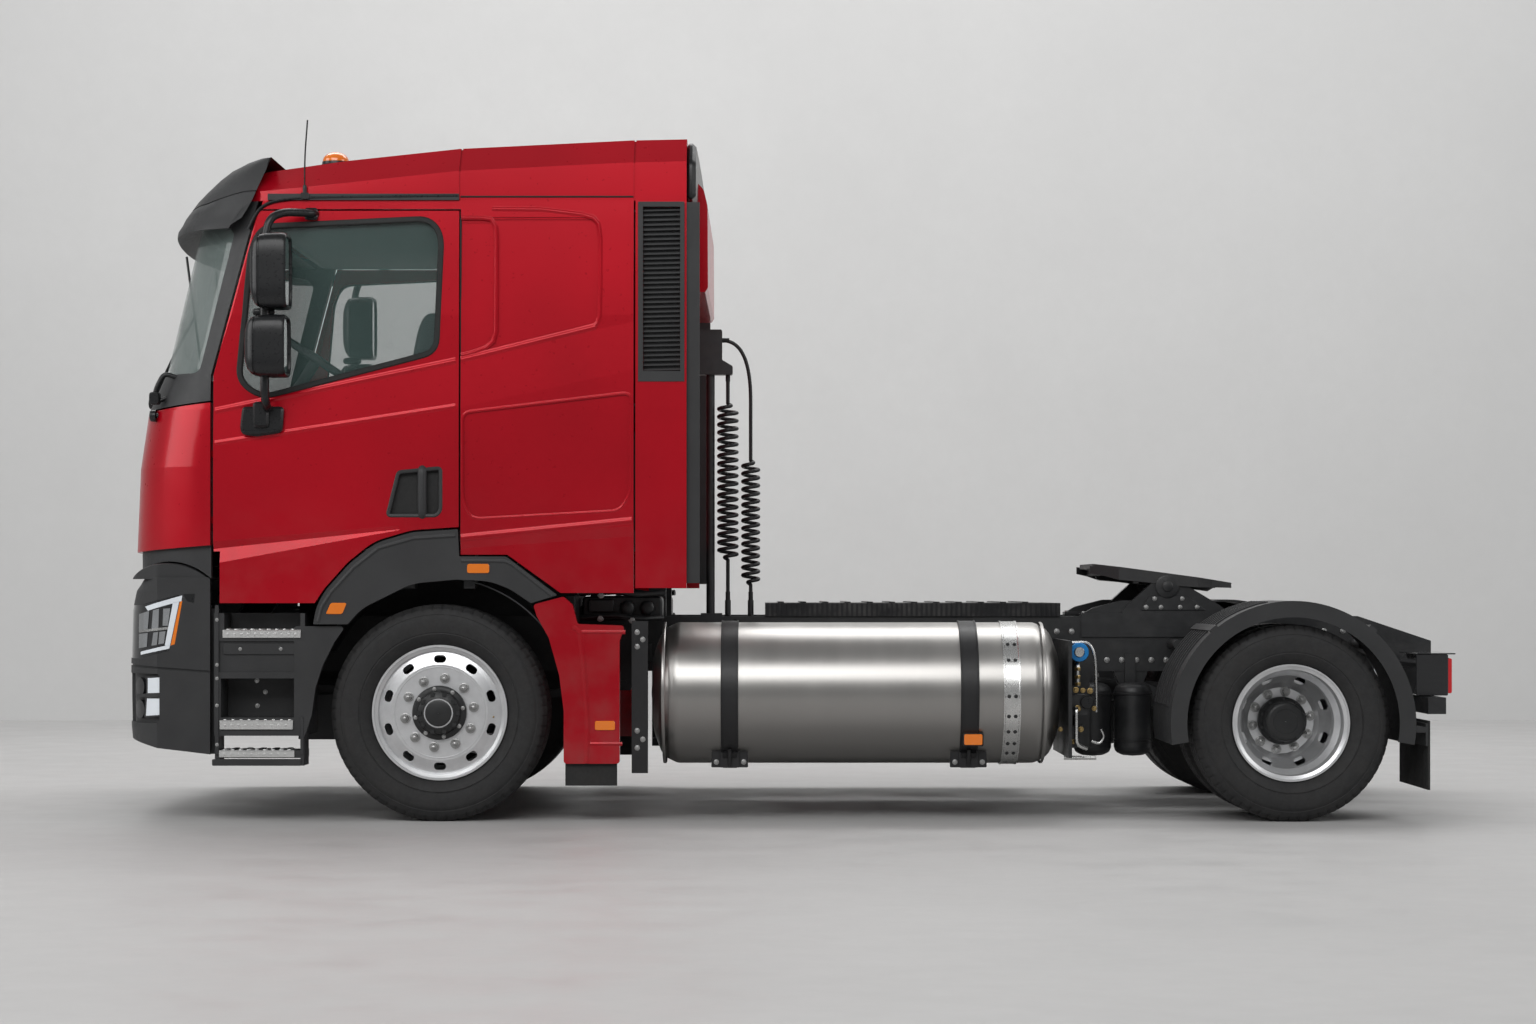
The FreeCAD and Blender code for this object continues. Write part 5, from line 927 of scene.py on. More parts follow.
HEADLAMP_LIGHT = (((-1314, 959), (-1138, 1009), (-1142, 984), (-1299, 941)),
                  ((-1180, 976), (-1152, 982), (-1193, 786), (-1216, 786)),
                  ((-1340, 757), (-1191, 790), (-1197, 772), (-1340, 743)))
HEADLAMP_CUPS = (((-1272, 943), (-1242, 950), (-1245, 864), (-1280, 857)),
                 ((-1223, 950), (-1192, 952), (-1203, 874), (-1226, 874)),
                 ((-1270, 843), (-1246, 847), (-1252, 789), (-1280, 785)),
                 ((-1240, 847), (-1213, 850), (-1220, 796), (-1245, 791)),
                 ((-1350, 925), (-1292, 940), (-1300, 860), (-1352, 850)),
                 ((-1350, 836), (-1300, 842), (-1305, 780), (-1352, 772)))
INDICATOR = (((-1149, 980), (-1138, 985), (-1172, 792), (-1190, 786)),)
CROSS_BAR = (((-1350, 853), (-1182, 871), (-1182, 860), (-1350, 842)),)
FOG_LIGHTS = (((-1300, 640), (-1213, 646), (-1216, 577), (-1300, 573)),
              ((-1304, 549), (-1219, 551), (-1229, 478), (-1310, 472)))
FOG_FRAME = (((-1370, 566), (-1236, 576), (-1236, 560), (-1370, 550)),)
BLANK_CAP = (((-1134, 1015), (-1083, 1016), (-1087, 976), (-1117, 984)),)


class TRUCK_OT_lamps(bpy.types.Operator):
    """Light bars, reflector cups, indicator, fog lights and caps on the bumper's corners"""
    bl_idname = "truck.lamps"
    bl_label = "Front lamps"

    def execute(self, context):
        surrounds = np.array(FOG_LIGHTS) + ((-10, 8), (10, 8), (10, -8), (-10, -8))
        for name, quads, out, thick, finish in (
                ("headlamp_bars", HEADLAMP_LIGHT, 1.0, 4, "lamp_clear"),
                ("headlamp_cups", HEADLAMP_CUPS, -0.5, 3, "reflector"),
                ("indicator", INDICATOR, 1.0, 4, "amber"), ("headlamp_cross_bar", CROSS_BAR, 0.5, 4, "bright"),
                ("fog_lights", FOG_LIGHTS, -1.0, 4, "lamp_clear"), ("fog_surrounds", surrounds, -2.5, 4, "lamp_dark"),
                ("fog_frame", FOG_FRAME, 0.5, 14, "plastic"), ("blank_cap", BLANK_CAP, 1.5, 4, "gloss_plastic")):
            side_pieces(name, [corner_patch(q, out, thick) for q in quads], "chassis", finish)
        side_pieces("bumper_cap", [bumper_cap(516, 9)], "chassis", "plastic")
        return {"FINISHED"}


def bumper_cap(near, inset):
    """Closed cap between the bumper's top and a circle about the cab's hinge, from |y| near to the corner."""
    a = np.radians(np.linspace(52.2, 127.8, 25))
    x, z = TILT_X + TILT_R * np.cos(a), TILT_Z + TILT_R * np.sin(a)
    x, z = np.concatenate([x, x[::-1]]), np.concatenate([z, np.full(25, 1086.0)])
    far = corner_y(x) - inset
    rings = [np.stack([x, -(near + (far - near) * f), z - 4 * (f == 1)], 1) for f in (0.0, 0.5, 0.985, 1.0)]
    faces = grid_faces(4, 50, close_cols=True).tolist()
    for base in (0, 150):
        faces += [[base + i, base + i + 1, base + 48 - i, base + 49 - i] for i in range(24)]
    return mm(np.concatenate(rings)), faces


class TRUCK_OT_markers(bpy.types.Operator):
    """Amber side markers and the tail lamps' lenses"""
    bl_idname = "truck.markers"
    bl_label = "Markers"

    def execute(self, context):
        flare = [plate([(-496, 926), (-422, 926), (-402, 976), (-473, 976)], "y", -1255, -1249, 10, 2),
                 plate([(132, 1108), (230, 1108), (230, 1149), (132, 1149)], "y", -1255, -1249, 10, 2)]
        side_pieces("cab_markers", flare, "cab", "amber")
        low = [block((699, 788), (-1255, -1249), (411, 452), 10), block((2342, 2423), (-1196, -1176), (342, 390), 8)]
        side_pieces("chassis_markers", low, "chassis", "amber")
        side_pieces("marker_holder", [block((2336, 2429), (-1180, -1120), (336, 396), 8)], "chassis", "strap")
        for name, ends, finish in (("tail_red", (-1005, -880), "tail"), ("tail_amber", (-876, -770), "amber"),
                                   ("tail_clear", (-766, -650), "lamp_clear")):
            side_pieces(name, [block((4540, 4560), ends, (566, 724), 8)], "chassis", finish)
        case = [block((4396, 4541), (-1014, -1009), (556, 742), 8), block((4400, 4574), (-1016, -636), (742, 748), 3)]
        side_pieces("tail_case", case, "chassis", "lamp_dark")
        return {"FINISHED"}


WINDOW = [(-823, 2542), (-778, 2640), (-42, 2675), (7, 2608), (-15, 2098), (-778, 1898), (-876, 1965)]
HANDLE = [(-220, 1365), (-173, 1555), (12, 1573), (12, 1388), (-6, 1365)]


def edge_band(outline, corner, section, smooth=7):
    """Closed band along an outline on the cab's side; section is a loop of (out of the outline, off the side)."""
    run = rounded(outline, corner, smooth)
    rings = []
    for grow, out in section:
        line = grown(run, grow)
        rings.append(np.stack([line[:, 0], -side_y(line[:, 0], line[:, 1]) - out, line[:, 1]], 1))
    verts = np.stack(rings, 1)
    return mm(verts.reshape(-1, 3)), grid_faces(len(run), len(section), True, True)


def bead(points, half, height, closed=False, corner=0.0):
    """Low rounded ridge on the cab's side along a line of (x, z): height times a raised cosine across its width."""
    p = np.asarray(points, float)
    if closed:
        p = rounded(p, corner, 7)
    step = np.roll(p, -1, 0) - np.roll(p, 1, 0)
    if not closed:
        step[0], step[-1] = p[1] - p[0], p[-1] - p[-2]
    across = np.stack([-step[:, 1], step[:, 0]], 1) / np.linalg.norm(step, axis=1)[:, None]
    s = np.linspace(-1, 1, 9)
    out = height * (0.5 + 0.5 * np.cos(math.pi * s))
    side, lift = np.append(s, (0.6, -0.6)) * half, np.append(out, (-1.5, -1.5))
    place = p[:, None] + across[:, None] * side[None, :, None]
    verts = np.stack([place[..., 0], -side_y(place[..., 0], place[..., 1]) - lift, place[..., 1]], -1)
    n, count = len(p), len(side)
    faces = grid_faces(n, count, closed, True).tolist()
    if not closed:
        faces += [list(range(count))[::-1], list(range((n - 1) * count, n * count))]
    return mm(verts.reshape(-1, 3)), faces


HOUSING = [(0.0, 0.02), (0.01, 0.3), (0.04, 0.56), (0.1, 0.77), (0.18, 0.9), (0.25, 0.95), (0.262, 0.925),
           (0.285, 0.925), (0.3, 0.962), (0.45, 0.99), (0.7, 1.0), (0.9, 1.0), (0.97, 0.985), (1.0, 0.95),
           (0.985, 0.9), (0.93, 0.88), (0.93, 0.02)]


def housing(low, high):
    """Mirror shell: superellipses |y|^5 + |z|^5 = f^5 stacked from the nose back, with f from the list."""
    low, high = np.asarray(low, float), np.asarray(high, float)
    steps = 56
    t = np.linspace(0, 2 * math.pi, steps, endpoint=False)
    c, s = np.cos(t), np.sin(t)
    r = (np.abs(c) ** 5 + np.abs(s) ** 5) ** -0.2
    place, grow = np.array(HOUSING).T
    mid, half = (low + high) / 2, (high - low) / 2
    x = low[0] + (high[0] - low[0]) * place
    y, z = mid[1] + half[1] * grow[:, None] * (r * c), mid[2] + half[2] * grow[:, None] * (r * s)
    verts = np.stack([np.repeat(x[:, None], steps, 1), y, z], -1)
    faces = grid_faces(len(x), steps, close_cols=True).tolist()
    faces += [list(range(steps))[::-1], list(range((len(x) - 1) * steps, len(x) * steps))]
    return mm(verts.reshape(-1, 3)), faces


VISOR_PLAN = [(-1330, 0), (-1316, 240), (-1290, 480), (-1262, 660), (-1224, 860), (-1150, 1040), (-1063, 1150),
              (-976, 1208), (-899, 1234), (-857, 1240)]
VISOR_DROP = ((2640, 2664, 2725, 2803, 2882, 2925, 2950, 2960), (4, 0, 26, 87, 175, 250, 330, 395))
VISOR_REAR = ((2640, 2667, 2684, 2752, 2908, 2960), (-915, -899, -857, -815, -752, -748))
VISOR_LEVELS = ((0.0, 0), (0.05, 0), (0.15, 0), (0.27, 0), (0.39, 0), (0.505, 0), (0.512, 5), (0.522, 5), (0.53, 0),
                (0.63, 0), (0.74, 0), (0.84, 0), (0.92, 0), (0.975, 0), (1.0, 0))      # (share of height, groove)
VISOR_NOSE, VISOR_END = -1330, -857


def visor_part():
    """Sun visor: plan outlines stacked from the lip up, each shorter in front as the list gives for its height,
    with a groove at half height that sinks towards the middle; then the flat top and the hollow underside."""
    plan = np.asarray(VISOR_PLAN, float)
    along = np.concatenate([[0], np.cumsum(np.linalg.norm(np.diff(plan, axis=0), axis=1))])
    s = np.linspace(0, along[-1], 36)
    px, py = np.interp(s, along, plan[:, 0]), np.interp(s, along, plan[:, 1])
    px = np.convolve(np.pad(px, 2, "edge"), (0.1, 0.2, 0.4, 0.2, 0.1), "valid")
    px, py = np.concatenate([px[:0:-1], px]), np.concatenate([-py[:0:-1], py])
    front = np.clip((-px - 930) / 180, 0, 1)
    rings = []
    for share, cut in VISOR_LEVELS:
        z = 2640 + 320 * share - 40 * front * math.sin(math.pi * share)
        drop, rear = np.interp(z, *VISOR_DROP) + cut * front, np.interp(z, *VISOR_REAR)
        x = rear + (px - VISOR_END) * (rear - VISOR_NOSE - drop) / (VISOR_END - VISOR_NOSE)
        rings.append(np.stack([x, py * (1 - 0.035 * share ** 3 - cut / 1400), z + 0 * x], 1))
    top = rings[-1].copy()
    top[:, 0], top[:, 2] = -746.0, 2962.0
    under = rings[0].copy()
    under[:, 0] = np.maximum(under[:, 0] + 14, -1308)
    under[:, 1] *= 0.985
    deep = under.copy()
    deep[:, 0] = -880 + (deep[:, 0] + 880) * 0.5
    deep[:, 1] *= 0.93
    deep[:, 2] = 2712
    verts = np.concatenate([deep, under] + rings + [top])
    count = len(px)
    rows = len(rings) + 3
    faces = grid_faces(rows, count).tolist()
    ends = [[r * count for r in range(rows)], [r * count + count - 1 for r in range(rows)][::-1]]
    inner, outer = list(range(count)), list(range((rows - 1) * count, rows * count))[::-1]
    return mm(verts), faces + ends + [inner, outer]


class TRUCK_OT_doors(bpy.types.Operator):
    """Window seals, handles, mirrors and folds, which go with the doors"""
    bl_idname = "truck.doors"
    bl_label = "Door fittings"

    def execute(self, context):
        doors = ("door_left", "door_right")
        seals = [edge_band(WINDOW, 55, ((-4, -16), (-4, 2), (1, 6), (17, 6), (22, 2), (22, -2), (1, -2), (1, -16)))]
        side_pieces("window_seal", seals, doors, "rubber")
        well = [edge_band(HANDLE, 14, ((-8, -10), (-6, 1), (-2, 4), (6, 4), (10, 0), (10, -2), (0, -2), (0, -10)), 5)]
        side_pieces("handle_well", well, doors, "plastic")
        # The plate on the handle recess's floor is real form; its near-black rubber colour is painted shade for the
        # deep recess.
        recess_shade = [plate(grown(rounded(HANDLE, 14), -1.5), "y", -1226, -1222.5, 0, 1)]
        side_pieces("handle_recess_shade", recess_shade, doors, "rubber")
        grip = [(-68, -1222, 1580), (-68, -1246, 1566), (-68, -1250, 1470), (-68, -1246, 1370), (-68, -1222, 1354)]
        side_pieces("door_handle", [bar(grip, 21, 18, bend=20)], doors, "plastic")
        glass = [plate([(-1486, 2284), (-1324, 2284), (-1324, 2574), (-1486, 2574)], "x", -648, -642, 30, 1),
                 plate([(-1486, 1984), (-1324, 1984), (-1324, 2220), (-1486, 2220)], "x", -655, -649, 30, 1)]
        side_pieces("mirror_glass", glass, doors, "mirror")
        shells = [housing((-803, -1502, 2263), (-634, -1308, 2596)),
                  housing((-826, -1502, 1966), (-640, -1308, 2238)),
                  bar([(-545, -1226, 2704), (-552, -1262, 2704), (-610, -1300, 2702), (-668, -1345, 2698),
                       (-724, -1384, 2668), (-742, -1392, 2570)], 18, 16, bend=60),
                  block((-590, -532), (-1256, -1216), (2676, 2730), 14, 8),
                  bar([(-742, -1392, 2280), (-742, -1392, 2225)], 22, 16),
                  bar([(-742, -1392, 1985), (-742, -1392, 1880), (-742, -1340, 1838), (-748, -1268, 1836)], 19, 16,
                      bend=50),
                  cushion((-800, -1392, 2236), (-700, -1352, 2272), 0.5, 12),
                  plate([(-873, 1750), (-862, 1722), (-800, 1713), (-700, 1728), (-684, 1742), (-678, 1846),
                         (-862, 1846)], "y", -1282, -1240, 20, 10),
                  block((-812, -742), (-1302, -1270), (1752, 1866), 18, 10)]
        made = side_pieces("mirror_heads", shells, doors, "gloss_plastic")
        for obj, side in zip(made, SIDES):
            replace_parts(obj, f"mirrors_{side}")
        lines = [bead(np.linspace((-988, 1829), (80, 2052), 24), 15, 5),
                 bead(np.linspace((-988, 1685), (80, 1850), 24), 12, 3)]
        side_pieces("door_folds", lines, doors, "paint")
        return {"FINISHED"}


class TRUCK_OT_cab_trim(bpy.types.Operator):
    """Gutter strips, sun visor, folds, rear cap, grille bars, flare lips, front handles and wipers"""
    bl_idname = "truck.cab_trim"
    bl_label = "Cab trim"

    def execute(self, context):
        strip = bezier([(-841, -1228, 2639), (-812, -1228, 2706), (-770, -1230, 2748), (-700, -1232, 2768),
                        (-560, -1233, 2778), (-200, -1233, 2782), (92, -1233, 2785)], 10)
        side_pieces("gutter", [bar(strip, 8, 8)], "cab", "gloss_plastic")
        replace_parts(mesh_piece("sun_visor", visor_part(), "cab", "plastic"), "visor")
        folds = [bead(np.linspace((104, 2056), (700, 2203), 20), 15, 5),
                 bead([(104, 2690), (190, 2690), (236, 2683), (255, 2650), (259, 2600), (259, 2400), (258, 2180),
                       (246, 2138), (214, 2110), (160, 2090), (104, 2076)], 10, 4),
                 bead([(240, 2728), (460, 2726), (640, 2704), (690, 2690), (714, 2662), (722, 2600), (722, 2400),
                       (720, 2250), (708, 2216), (690, 2203)], 11, 4),
                 bead([(109, 1822), (859, 1911), (859, 1468), (810, 1385), (171, 1349), (140, 1367), (109, 1440)], 7,
                      2.5, True, 40),
                 bead(np.linspace((104, 1266), (862, 1342), 20), 16, 5)]
        side_pieces("sleeper_folds", folds, "cab", "paint")
        back = [(-1222, 2772), (-1219, 2935), (-1126, 3036), (-600, 3052), (0, 3060), (600, 3052), (1126, 3036),
                (1219, 2935), (1222, 2772)]
        mesh_piece("roof_rear_cap", plate(back, "x", 1102, 1146, 26, 16), "cab", "gloss_plastic")
        bow = lambda y, x0: x0 + 75 * (np.abs(y) / 900.0) ** 2
        y = np.linspace(-740, 740, 31)
        bars = [bar(np.stack([bow(y, x), y, np.full_like(y, z)], 1), 9, 8)
                for z, x in ((1311, -1476), (1431, -1471), (1551, -1466))]
        mesh_piece("grille_bars", join(bars), "cab", "gloss_plastic")
        lips = [bead([(-530, 892), (-514, 955), (-474, 1020), (-372, 1132), (-262, 1218), (-106, 1262), (80, 1274)],
                     10, 5),
                bead([(106, 1162), (196, 1162), (298, 1160), (330, 1146), (410, 1084), (508, 1006)], 9, 4)]
        side_pieces("flare_lips", lips, "cab", "plastic")
        side_pieces("door_stops", [block((95.5, 104), (-1222, -1186), (1318, 2690), 2, 1)], "cab", "rubber")
        side_pieces("roof_joint", [bar([(100, -1227, 2782), (868, -1227, 2782)], 4, 8)], "cab", "rubber")
        grab = [bar([(-1196, -1062, 1990), (-1250, -1074, 2008), (-1284, -1080, 1940), (-1290, -1080, 1905)], 11, 12,
                    bend=26),
                block((-1312, -1266), (-1104, -1060), (1866, 1922), 14, 5),
                bar([(-1240, -1056, 1900), (-1280, -1070, 1880)], 10, 10),
                button((-1290, -1050, 1818), 27, 26, 24, 4, (-1, 0, 0)),
                bar([(-1290, -1050, 1818), (-1256, -1040, 1822)], 12, 12)]
        side_pieces("front_handle", grab, "cab", "gloss_plastic")
        arms = []
        for start in (-620, 40):
            foot = np.array([bow(start, -1424), start, 1900])
            tip = np.array([bow(start + 330, -1262), start + 330, 2330])
            mid = (foot + tip) / 2 + (-26, 0, 0)
            arms.append(bar(bezier([foot + (-8, 0, 0), mid, tip + (-14, 0, 0)], 12), 7, 8))
            t = np.linspace(-1, 1, 15)
            blade = np.stack([bow(start + 330 + 90 * t, -1262) - 7 - t * 52, start + 330 + 90 * t, 2330 + 300 * t], 1)
            arms.append(bar(blade + (-4, 0, 0), 6, 8))
            arms.append(button(foot - (4, 0, 0), 26, 18, 20, 4, (-1, 0, 0)))
        mesh_piece("wipers", join(arms), "cab", "gloss_plastic")
        return {"FINISHED"}


class TRUCK_OT_roof(bpy.types.Operator):
    """Amber beacon on its black base and the whip aerial"""
    bl_idname = "truck.roof"
    bl_label = "Roof fittings"

    def execute(self, context):
        x, y = -532, -700
        base = np.array([(78, 2946), (80, 2958), (76, 2980), (66, 2992), (63, 3004), (62, 3012), (1, 3014)]) * MM
        obj = mesh_piece("beacon_base", turned_mesh(base, at(x, y, 0), "z", 48), "cab", "gloss_plastic")
        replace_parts(obj, "roof_fittings")
        a = np.linspace(0, math.pi / 2, 10)
        dome = [(61, 3006), (61, 3014)] + [(60.5 * math.cos(k) + 0.4, 3016 + 42 * math.sin(k)) for k in a]
        mesh_piece("beacon_dome", turned_mesh(np.asarray(dome) * MM, at(x, y, 0), "z", 48), "cab", "amber")
        whip = [bar([(-591, -1243, 2790), (-590, -1243, 2960), (-578, -1243, 3120)], 3.5, 8, bend=60),
                block((-608, -572), (-1250, -1236), (2768, 2798), 5), button((-590, -1243, 2796), 9, 34, 16, axis=UP)]
        mesh_piece("whip_aerial", join(whip), "cab", "gloss_plastic")
        return {"FINISHED"}


# Air hoses: name, x, top and foot of the coil, its reach and turns, the lead's points above it, the collar's ends
HOSES = (("air_hose_1", 1277.0, 1918.0, 1175.0, 44.0, 20, ((1277.0, HOSE_Y, 2051.0),),
          ((1277, HOSE_Y, 2057), (1277, HOSE_Y, 2021))),
         ("air_hose_2", 1385.0, 1648.0, 1057.0, 38.0, 16, ((1250.0, HOSE_Y, 2215.0), (1385.0, HOSE_Y, 2215.0)),
          ((1244, HOSE_Y, 2215), (1284, HOSE_Y, 2215))))
HOSE_STEPS = np.array((4, 10, 19, 33, 52, 78, 112))     # from the coil's end, closer where the hose bends most
LEAD_STEPS = (1890.0, 1840.0, 1795.0)


class TRUCK_OT_hoses(bpy.types.Operator):
    """Curly air hoses from the stand's head down to the fittings on the rail"""
    bl_idname = "truck.hoses"
    bl_label = "Air hoses"

    def execute(self, context):
        material, slot = finishes(context.scene)["hose"]
        thick = context.scene.truck_sizes.coil_wire
        for number, (name, x, top, low, reach, turns, lead, collar) in enumerate(HOSES, 1):
            # A helix about the upright line at x, HOSE_Y, its reach swelling from nothing at both ends
            t = np.linspace(0, 1, turns * 14 + 1)
            grow = np.clip(np.minimum(t, 1 - t) * turns * 1.4, 0, 1)
            grow = reach * (1.12 * grow ** 2 / (grow + 0.12))
            angle = t * turns * 2 * math.pi
            coil = np.stack([x + grow * np.sin(angle), HOSE_Y + grow * np.cos(angle), top + (low - top) * t], 1)
            start = [lead[0]]
            if len(lead) == 2:      # the lead bends down from a level start, as a parabola about its knee
                s = np.linspace(0, 1, 13)[:, None]
                first, knee = np.array(lead)
                middle = (knee + (x, HOSE_Y, top)) / 2
                start = [*((1 - s) ** 2 * first + 2 * s * (1 - s) * knee + s ** 2 * middle),
                         *((x, HOSE_Y, z) for z in LEAD_STEPS)]
            neck = [(x, HOSE_Y, top + d) for d in HOSE_STEPS[::-1]]
            end = [(x, HOSE_Y, low - d * (low - FITTING_TOP) / 150) for d in HOSE_STEPS] + [(x, HOSE_Y, FITTING_TOP)]
            points = mm(np.concatenate([start, neck, coil, end]))
            curve = bpy.data.curves.new(name, "CURVE")
            curve.dimensions = "3D"
            spline = curve.splines.new("NURBS")
            spline.points.add(len(points) - 1)
            spline.points.foreach_set("co", np.column_stack([points, np.ones(len(points))]).ravel())
            spline.order_u = 3
            spline.use_endpoint_u = True
            spline.resolution_u = 3
            bare = bpy.data.objects.new(name + "_line", curve)
            context.scene.collection.objects.link(bare)
            context.view_layer.update()
            line = bpy.data.meshes.new_from_object(bare.evaluated_get(context.evaluated_depsgraph_get()))
            along = np.empty(len(line.vertices) * 3)
            line.vertices.foreach_get("co", along)
            bpy.data.objects.remove(bare)
            bpy.data.meshes.remove(line)
            curve.bevel_depth = thick / 2
            curve.bevel_resolution = 3
            curve.use_fill_caps = True
            obj = bpy.data.objects.new(name, curve)
            context.scene.collection.objects.link(obj)
            obj.data.materials.append(material)
            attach(obj, "chassis")
            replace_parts(obj, f"hose_coil_{number}", f"hose_leads_{number}")
            ends = [bar([(x, HOSE_Y, FITTING_TOP - 6), (x, HOSE_Y, FITTING_TOP + 40)], 11, 14), bar(collar, 11, 14)]
            relief = mesh_piece(name + "_relief", join(ends), "chassis", "rubber")
        return {"FINISHED"}


class TRUCK_OT_chassis(bpy.types.Operator):
    """Rail bolts, the coupling's webs, skirt and bolts, air lines, creases, side units and tank bands"""
    bl_idname = "truck.chassis"
    bl_label = "Chassis fittings"

    def execute(self, context):
        heads = []
        for x in np.arange(2830.0, 3460.0, 70.0):
            heads += [(x, -430, 837), (x + 26, -430, 703)]
        heads += [(x, -430, z) for x in (1150, 1210, 1950, 2010, 3960, 4020, 4090, 4180) for z in (720, 840)]
        side_pieces("rail_bolts", bolts(heads, OUT, 10, 9), "chassis", "nut")
        c = 3350.0          # middle of the coupling
        webs = [plate([(c - 128, 938), (c + 184, 938), (c + 96, 1006), (c - 86, 1006)], "y", -441, -433, 10, 1.5),
                plate([(c - 396, 922), (c - 200, 922), (c - 150, 985), (c - 212, 985), (c - 350, 950)], "y", -424,
                      -398, 10, 2),
                button((c, -434, 1050), 56, 12, 40, 4), button((c, -444, 1050), 26, 10, 24, 3)]
        side_pieces("coupling_webs", webs, "chassis", "chassis")
        heads = [(c + x, -441, 952) for x in (-100, -30, 60, 140)] + [(c + x, -441, 992) for x in (-60, 70)]
        side_pieces("web_bolts", bolts(heads, OUT, 8, 7), "chassis", "nut")
        x = np.array([2999.0, 3060, 3123, 3250, 3360, 3491, 3600, 3681])
        y = np.interp(x, (2999, 3123, 3491, 3681), (-304, -432, -452, -254))
        high = np.interp(x, (2999, 3681), (1151, 1059)) - 4
        low = np.interp(x, (2999, 3060, 3140, 3290, 3420, 3560, 3681), (1112, 1100, 1076, 1068, 1046, 1046, 1043))
        run = [np.stack([x, y * k, z], 1) for k, z in ((1, high), (1, low), (0.96, low + 2), (0.96, high))]
        verts = np.stack(run, 1).reshape(-1, 3)
        faces = grid_faces(8, 4, close_cols=True).tolist() + [[3, 2, 1, 0], [28, 29, 30, 31]]
        side_pieces("plate_skirt", [(mm(verts), faces)], "fifth_wheel_plate", "iron")
        heads = [(x, -405, 924) for x in (2960, 3126, 3180, 3413, 3470, 3533, 3600)]
        side_pieces("coupling_bolts", bolts(heads, UP, 10, 8), "chassis", "nut")
        runs = (((1277, HOSE_Y, 918), (1277, -400, 912), (1330, -440, 880), (1500, -446, 860), (2700, -446, 858)),
                ((1385, HOSE_Y, 918), (1385, -402, 912), (1440, -446, 850), (1600, -446, 832), (2700, -446, 826)),
                ((3900, -446, 800), (4100, -446, 790), (4380, -446, 700), (4440, -600, 660), (4440, -700, 650)))
        lines = [bar(run, radius, bend=bend) for run, radius, bend in zip(runs, (8, 8, 9), (40, 40, 60))]
        mesh_piece("air_lines", join(lines), "chassis", "rubber")
        x, z = REAR_HUB
        heads = [(x + 440 * math.cos(a) * 1.235, -1200, z + 543 * math.sin(a))
                 for a in np.radians((48, 52, 128, 132))]
        side_pieces("rear_arch_bolts", bolts(heads, UP, 8, 6), "chassis", "nut")
        creases = [bead([(600, 868), (634, 842), (650, 700), (668, 420), (662, 264)], 13, 5),
                   bead([(640, 846), (834, 846)], 9, 4), bead([(676, 350), (820, 350)], 8, 3)]
        side_pieces("guard_creases", creases, "chassis", "paint")
        unit = [block((612, 980), (-770, -540), (892, 1004), 24, 8),
                block((640, 760), (-800, -765), (930, 990), 12, 5),
                block((560, 600), (-1080, -700), (880, 1010), 10, 4)]
        unit += [button((x, -772, 950), 34, 42, 28, 6) for x in (820, 912)]
        unit += [bar([(600, -800, 1018), (760, -810, 1030), (860, -800, 1010), (990, -760, 1020)], 14, 12, bend=40),
                 bar([(610, -840, 905), (760, -850, 918), (900, -850, 900), (985, -800, 906)], 11, 12, bend=40)]
        side_pieces("side_units", unit, "chassis", "chassis")
        unions = bolts([(700, -848, 905), (846, -848, 896), (700, -803, 1012)], OUT, 13, 14)
        side_pieces("unit_unions", unions, "chassis", "nut")
        filler = [block((-1034, -988), (-1150, -1104), (300, 950), 8, 3),
                  block((-740, -520), (-470, -452), (330, 545), 20, 4)]
        side_pieces("step_back", filler, "chassis", "plastic")
        band = np.array([(88, -6), (91, -4), (91, 4), (88, 6)])
        rings = [turned_mesh((band + (0, z)) * MM, at(x, -535, 0), "z", 48, loop=True)
                 for x in (2985, 3174) for z in (330, 548)]
        side_pieces("air_tank_bands", rings, "chassis", "strap")
        return {"FINISHED"}


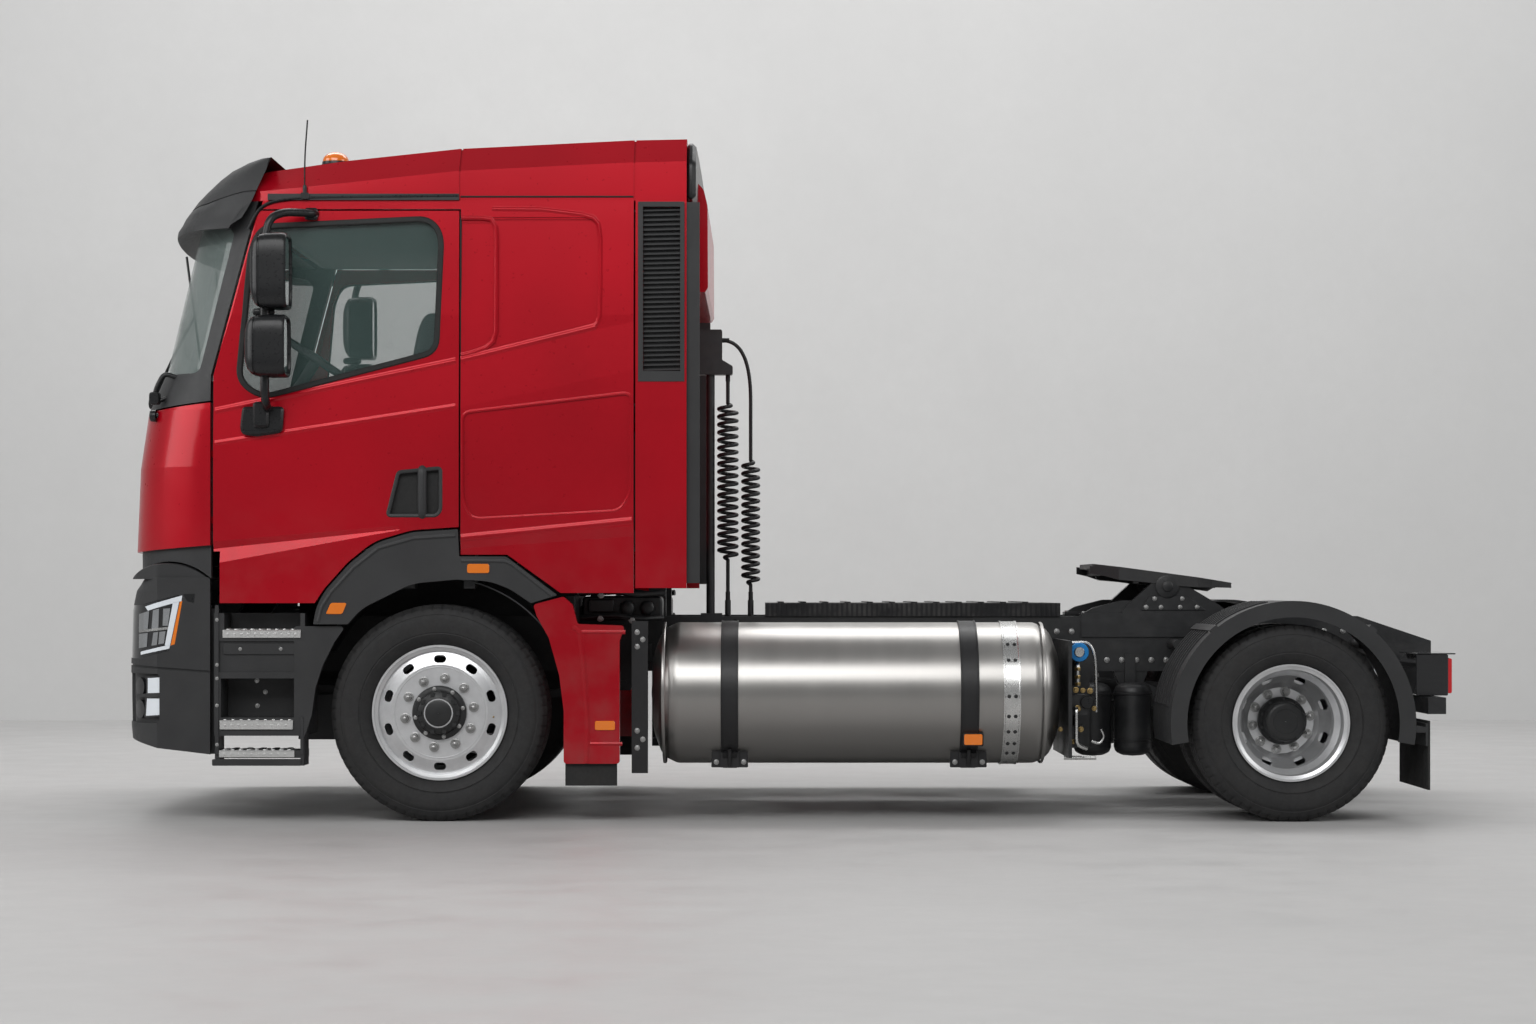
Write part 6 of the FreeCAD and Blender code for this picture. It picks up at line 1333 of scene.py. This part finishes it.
class TRUCK_OT_interior(bpy.types.Operator):
    """Padded seats and bunk, their stands and locker, headliner"""
    bl_idname = "truck.interior"
    bl_label = "Interior"

    def execute(self, context):
        for side, y in zip(SIDES, (-560, 560)):
            for name, low, high in (("seat_cushion", (-635, y - 238, 1600), (-80, y + 238, 1752)),
                                    ("seat_back", (-180, y - 232, 1700), (0, y + 232, 2320)),
                                    ("head_rest", (-92, y - 118, 2302), (4, y + 118, 2450))):
                verts, faces = cushion(low, high)
                if name != "seat_cushion":
                    verts[:, 0] += (verts[:, 2] - 2.0) * 0.13 - 0.01        # leans back
                obj = mesh_piece(f"{name}_{side}", (verts, faces), "cab", "cloth")
                if (name, side) == ("seat_cushion", "left"):
                    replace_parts(obj, "seats")
            stand = [block((-520, -160), (y - 170, y + 170), (1301, 1610), 20, 6),
                     block((-560, -120), (y - 225, y + 225), (1560, 1606), 12, 6),
                     bar([(-40, y, 2290), (-46, y, 2330)], 8, 10)]
            mesh_piece(f"seat_stand_{side}", join(stand), "cab", "interior")
        half = 1168         # of the bunk's width
        mattress = mesh_piece("mattress", cushion((534, -half, 1738), (1052, half, 1884), 0.3, 32), "cab", "cloth")
        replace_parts(mattress, "bunk")
        locker = [block((560, 1059), (-half, half), (1301, 1742), 6, 4),
                  block((552, 562), (-half + 60, -20), (1360, 1700), 16, 3),
                  block((552, 562), (20, half - 60), (1360, 1700), 16, 3)]
        mesh_piece("bunk_locker", join(locker), "cab", "interior")
        mesh_piece("headliner", join([block((-880, 1050), (-1175, 1175), (2720, 2730), 60, 3)]), "cab", "headliner")
        return {"FINISHED"}


OPERATORS = [TRUCK_OT_stage, TRUCK_OT_finishes, TRUCK_OT_tyres, TRUCK_OT_wheel_fittings, TRUCK_OT_tank_fittings,
             TRUCK_OT_valves, TRUCK_OT_steps, TRUCK_OT_lamps, TRUCK_OT_markers, TRUCK_OT_doors, TRUCK_OT_cab_trim,
             TRUCK_OT_roof, TRUCK_OT_hoses, TRUCK_OT_chassis, TRUCK_OT_interior]


class TRUCK_PT_panel(bpy.types.Panel):
    """Lists the truck's steps and the values that they read"""
    bl_idname = "TRUCK_PT_panel"
    bl_label = "Truck"
    bl_space_type = "VIEW_3D"
    bl_region_type = "UI"
    bl_category = "Truck"

    def draw(self, context):
        scene = context.scene
        for group in (scene.truck_colours, scene.truck_sizes):
            column = self.layout.column(align=True)
            for name in group.__class__.__annotations__:
                column.prop(group, name)
        column = self.layout.column(align=True)
        for operator in OPERATORS:
            column.operator(operator.bl_idname)


CLASSES = [TruckColours, TruckSizes] + OPERATORS + [TRUCK_PT_panel]


def register():
    for cls in CLASSES:
        bpy.utils.register_class(cls)
    bpy.types.Scene.truck_colours = PointerProperty(type=TruckColours)
    bpy.types.Scene.truck_sizes = PointerProperty(type=TruckSizes)


def unregister():
    del bpy.types.Scene.truck_sizes
    del bpy.types.Scene.truck_colours
    for cls in reversed(CLASSES):
        bpy.utils.unregister_class(cls)


def main():
    register()
    for operator in OPERATORS:
        group, name = operator.bl_idname.split(".")
        getattr(getattr(bpy.ops, group), name)()


if __name__ == "__main__":
    main()
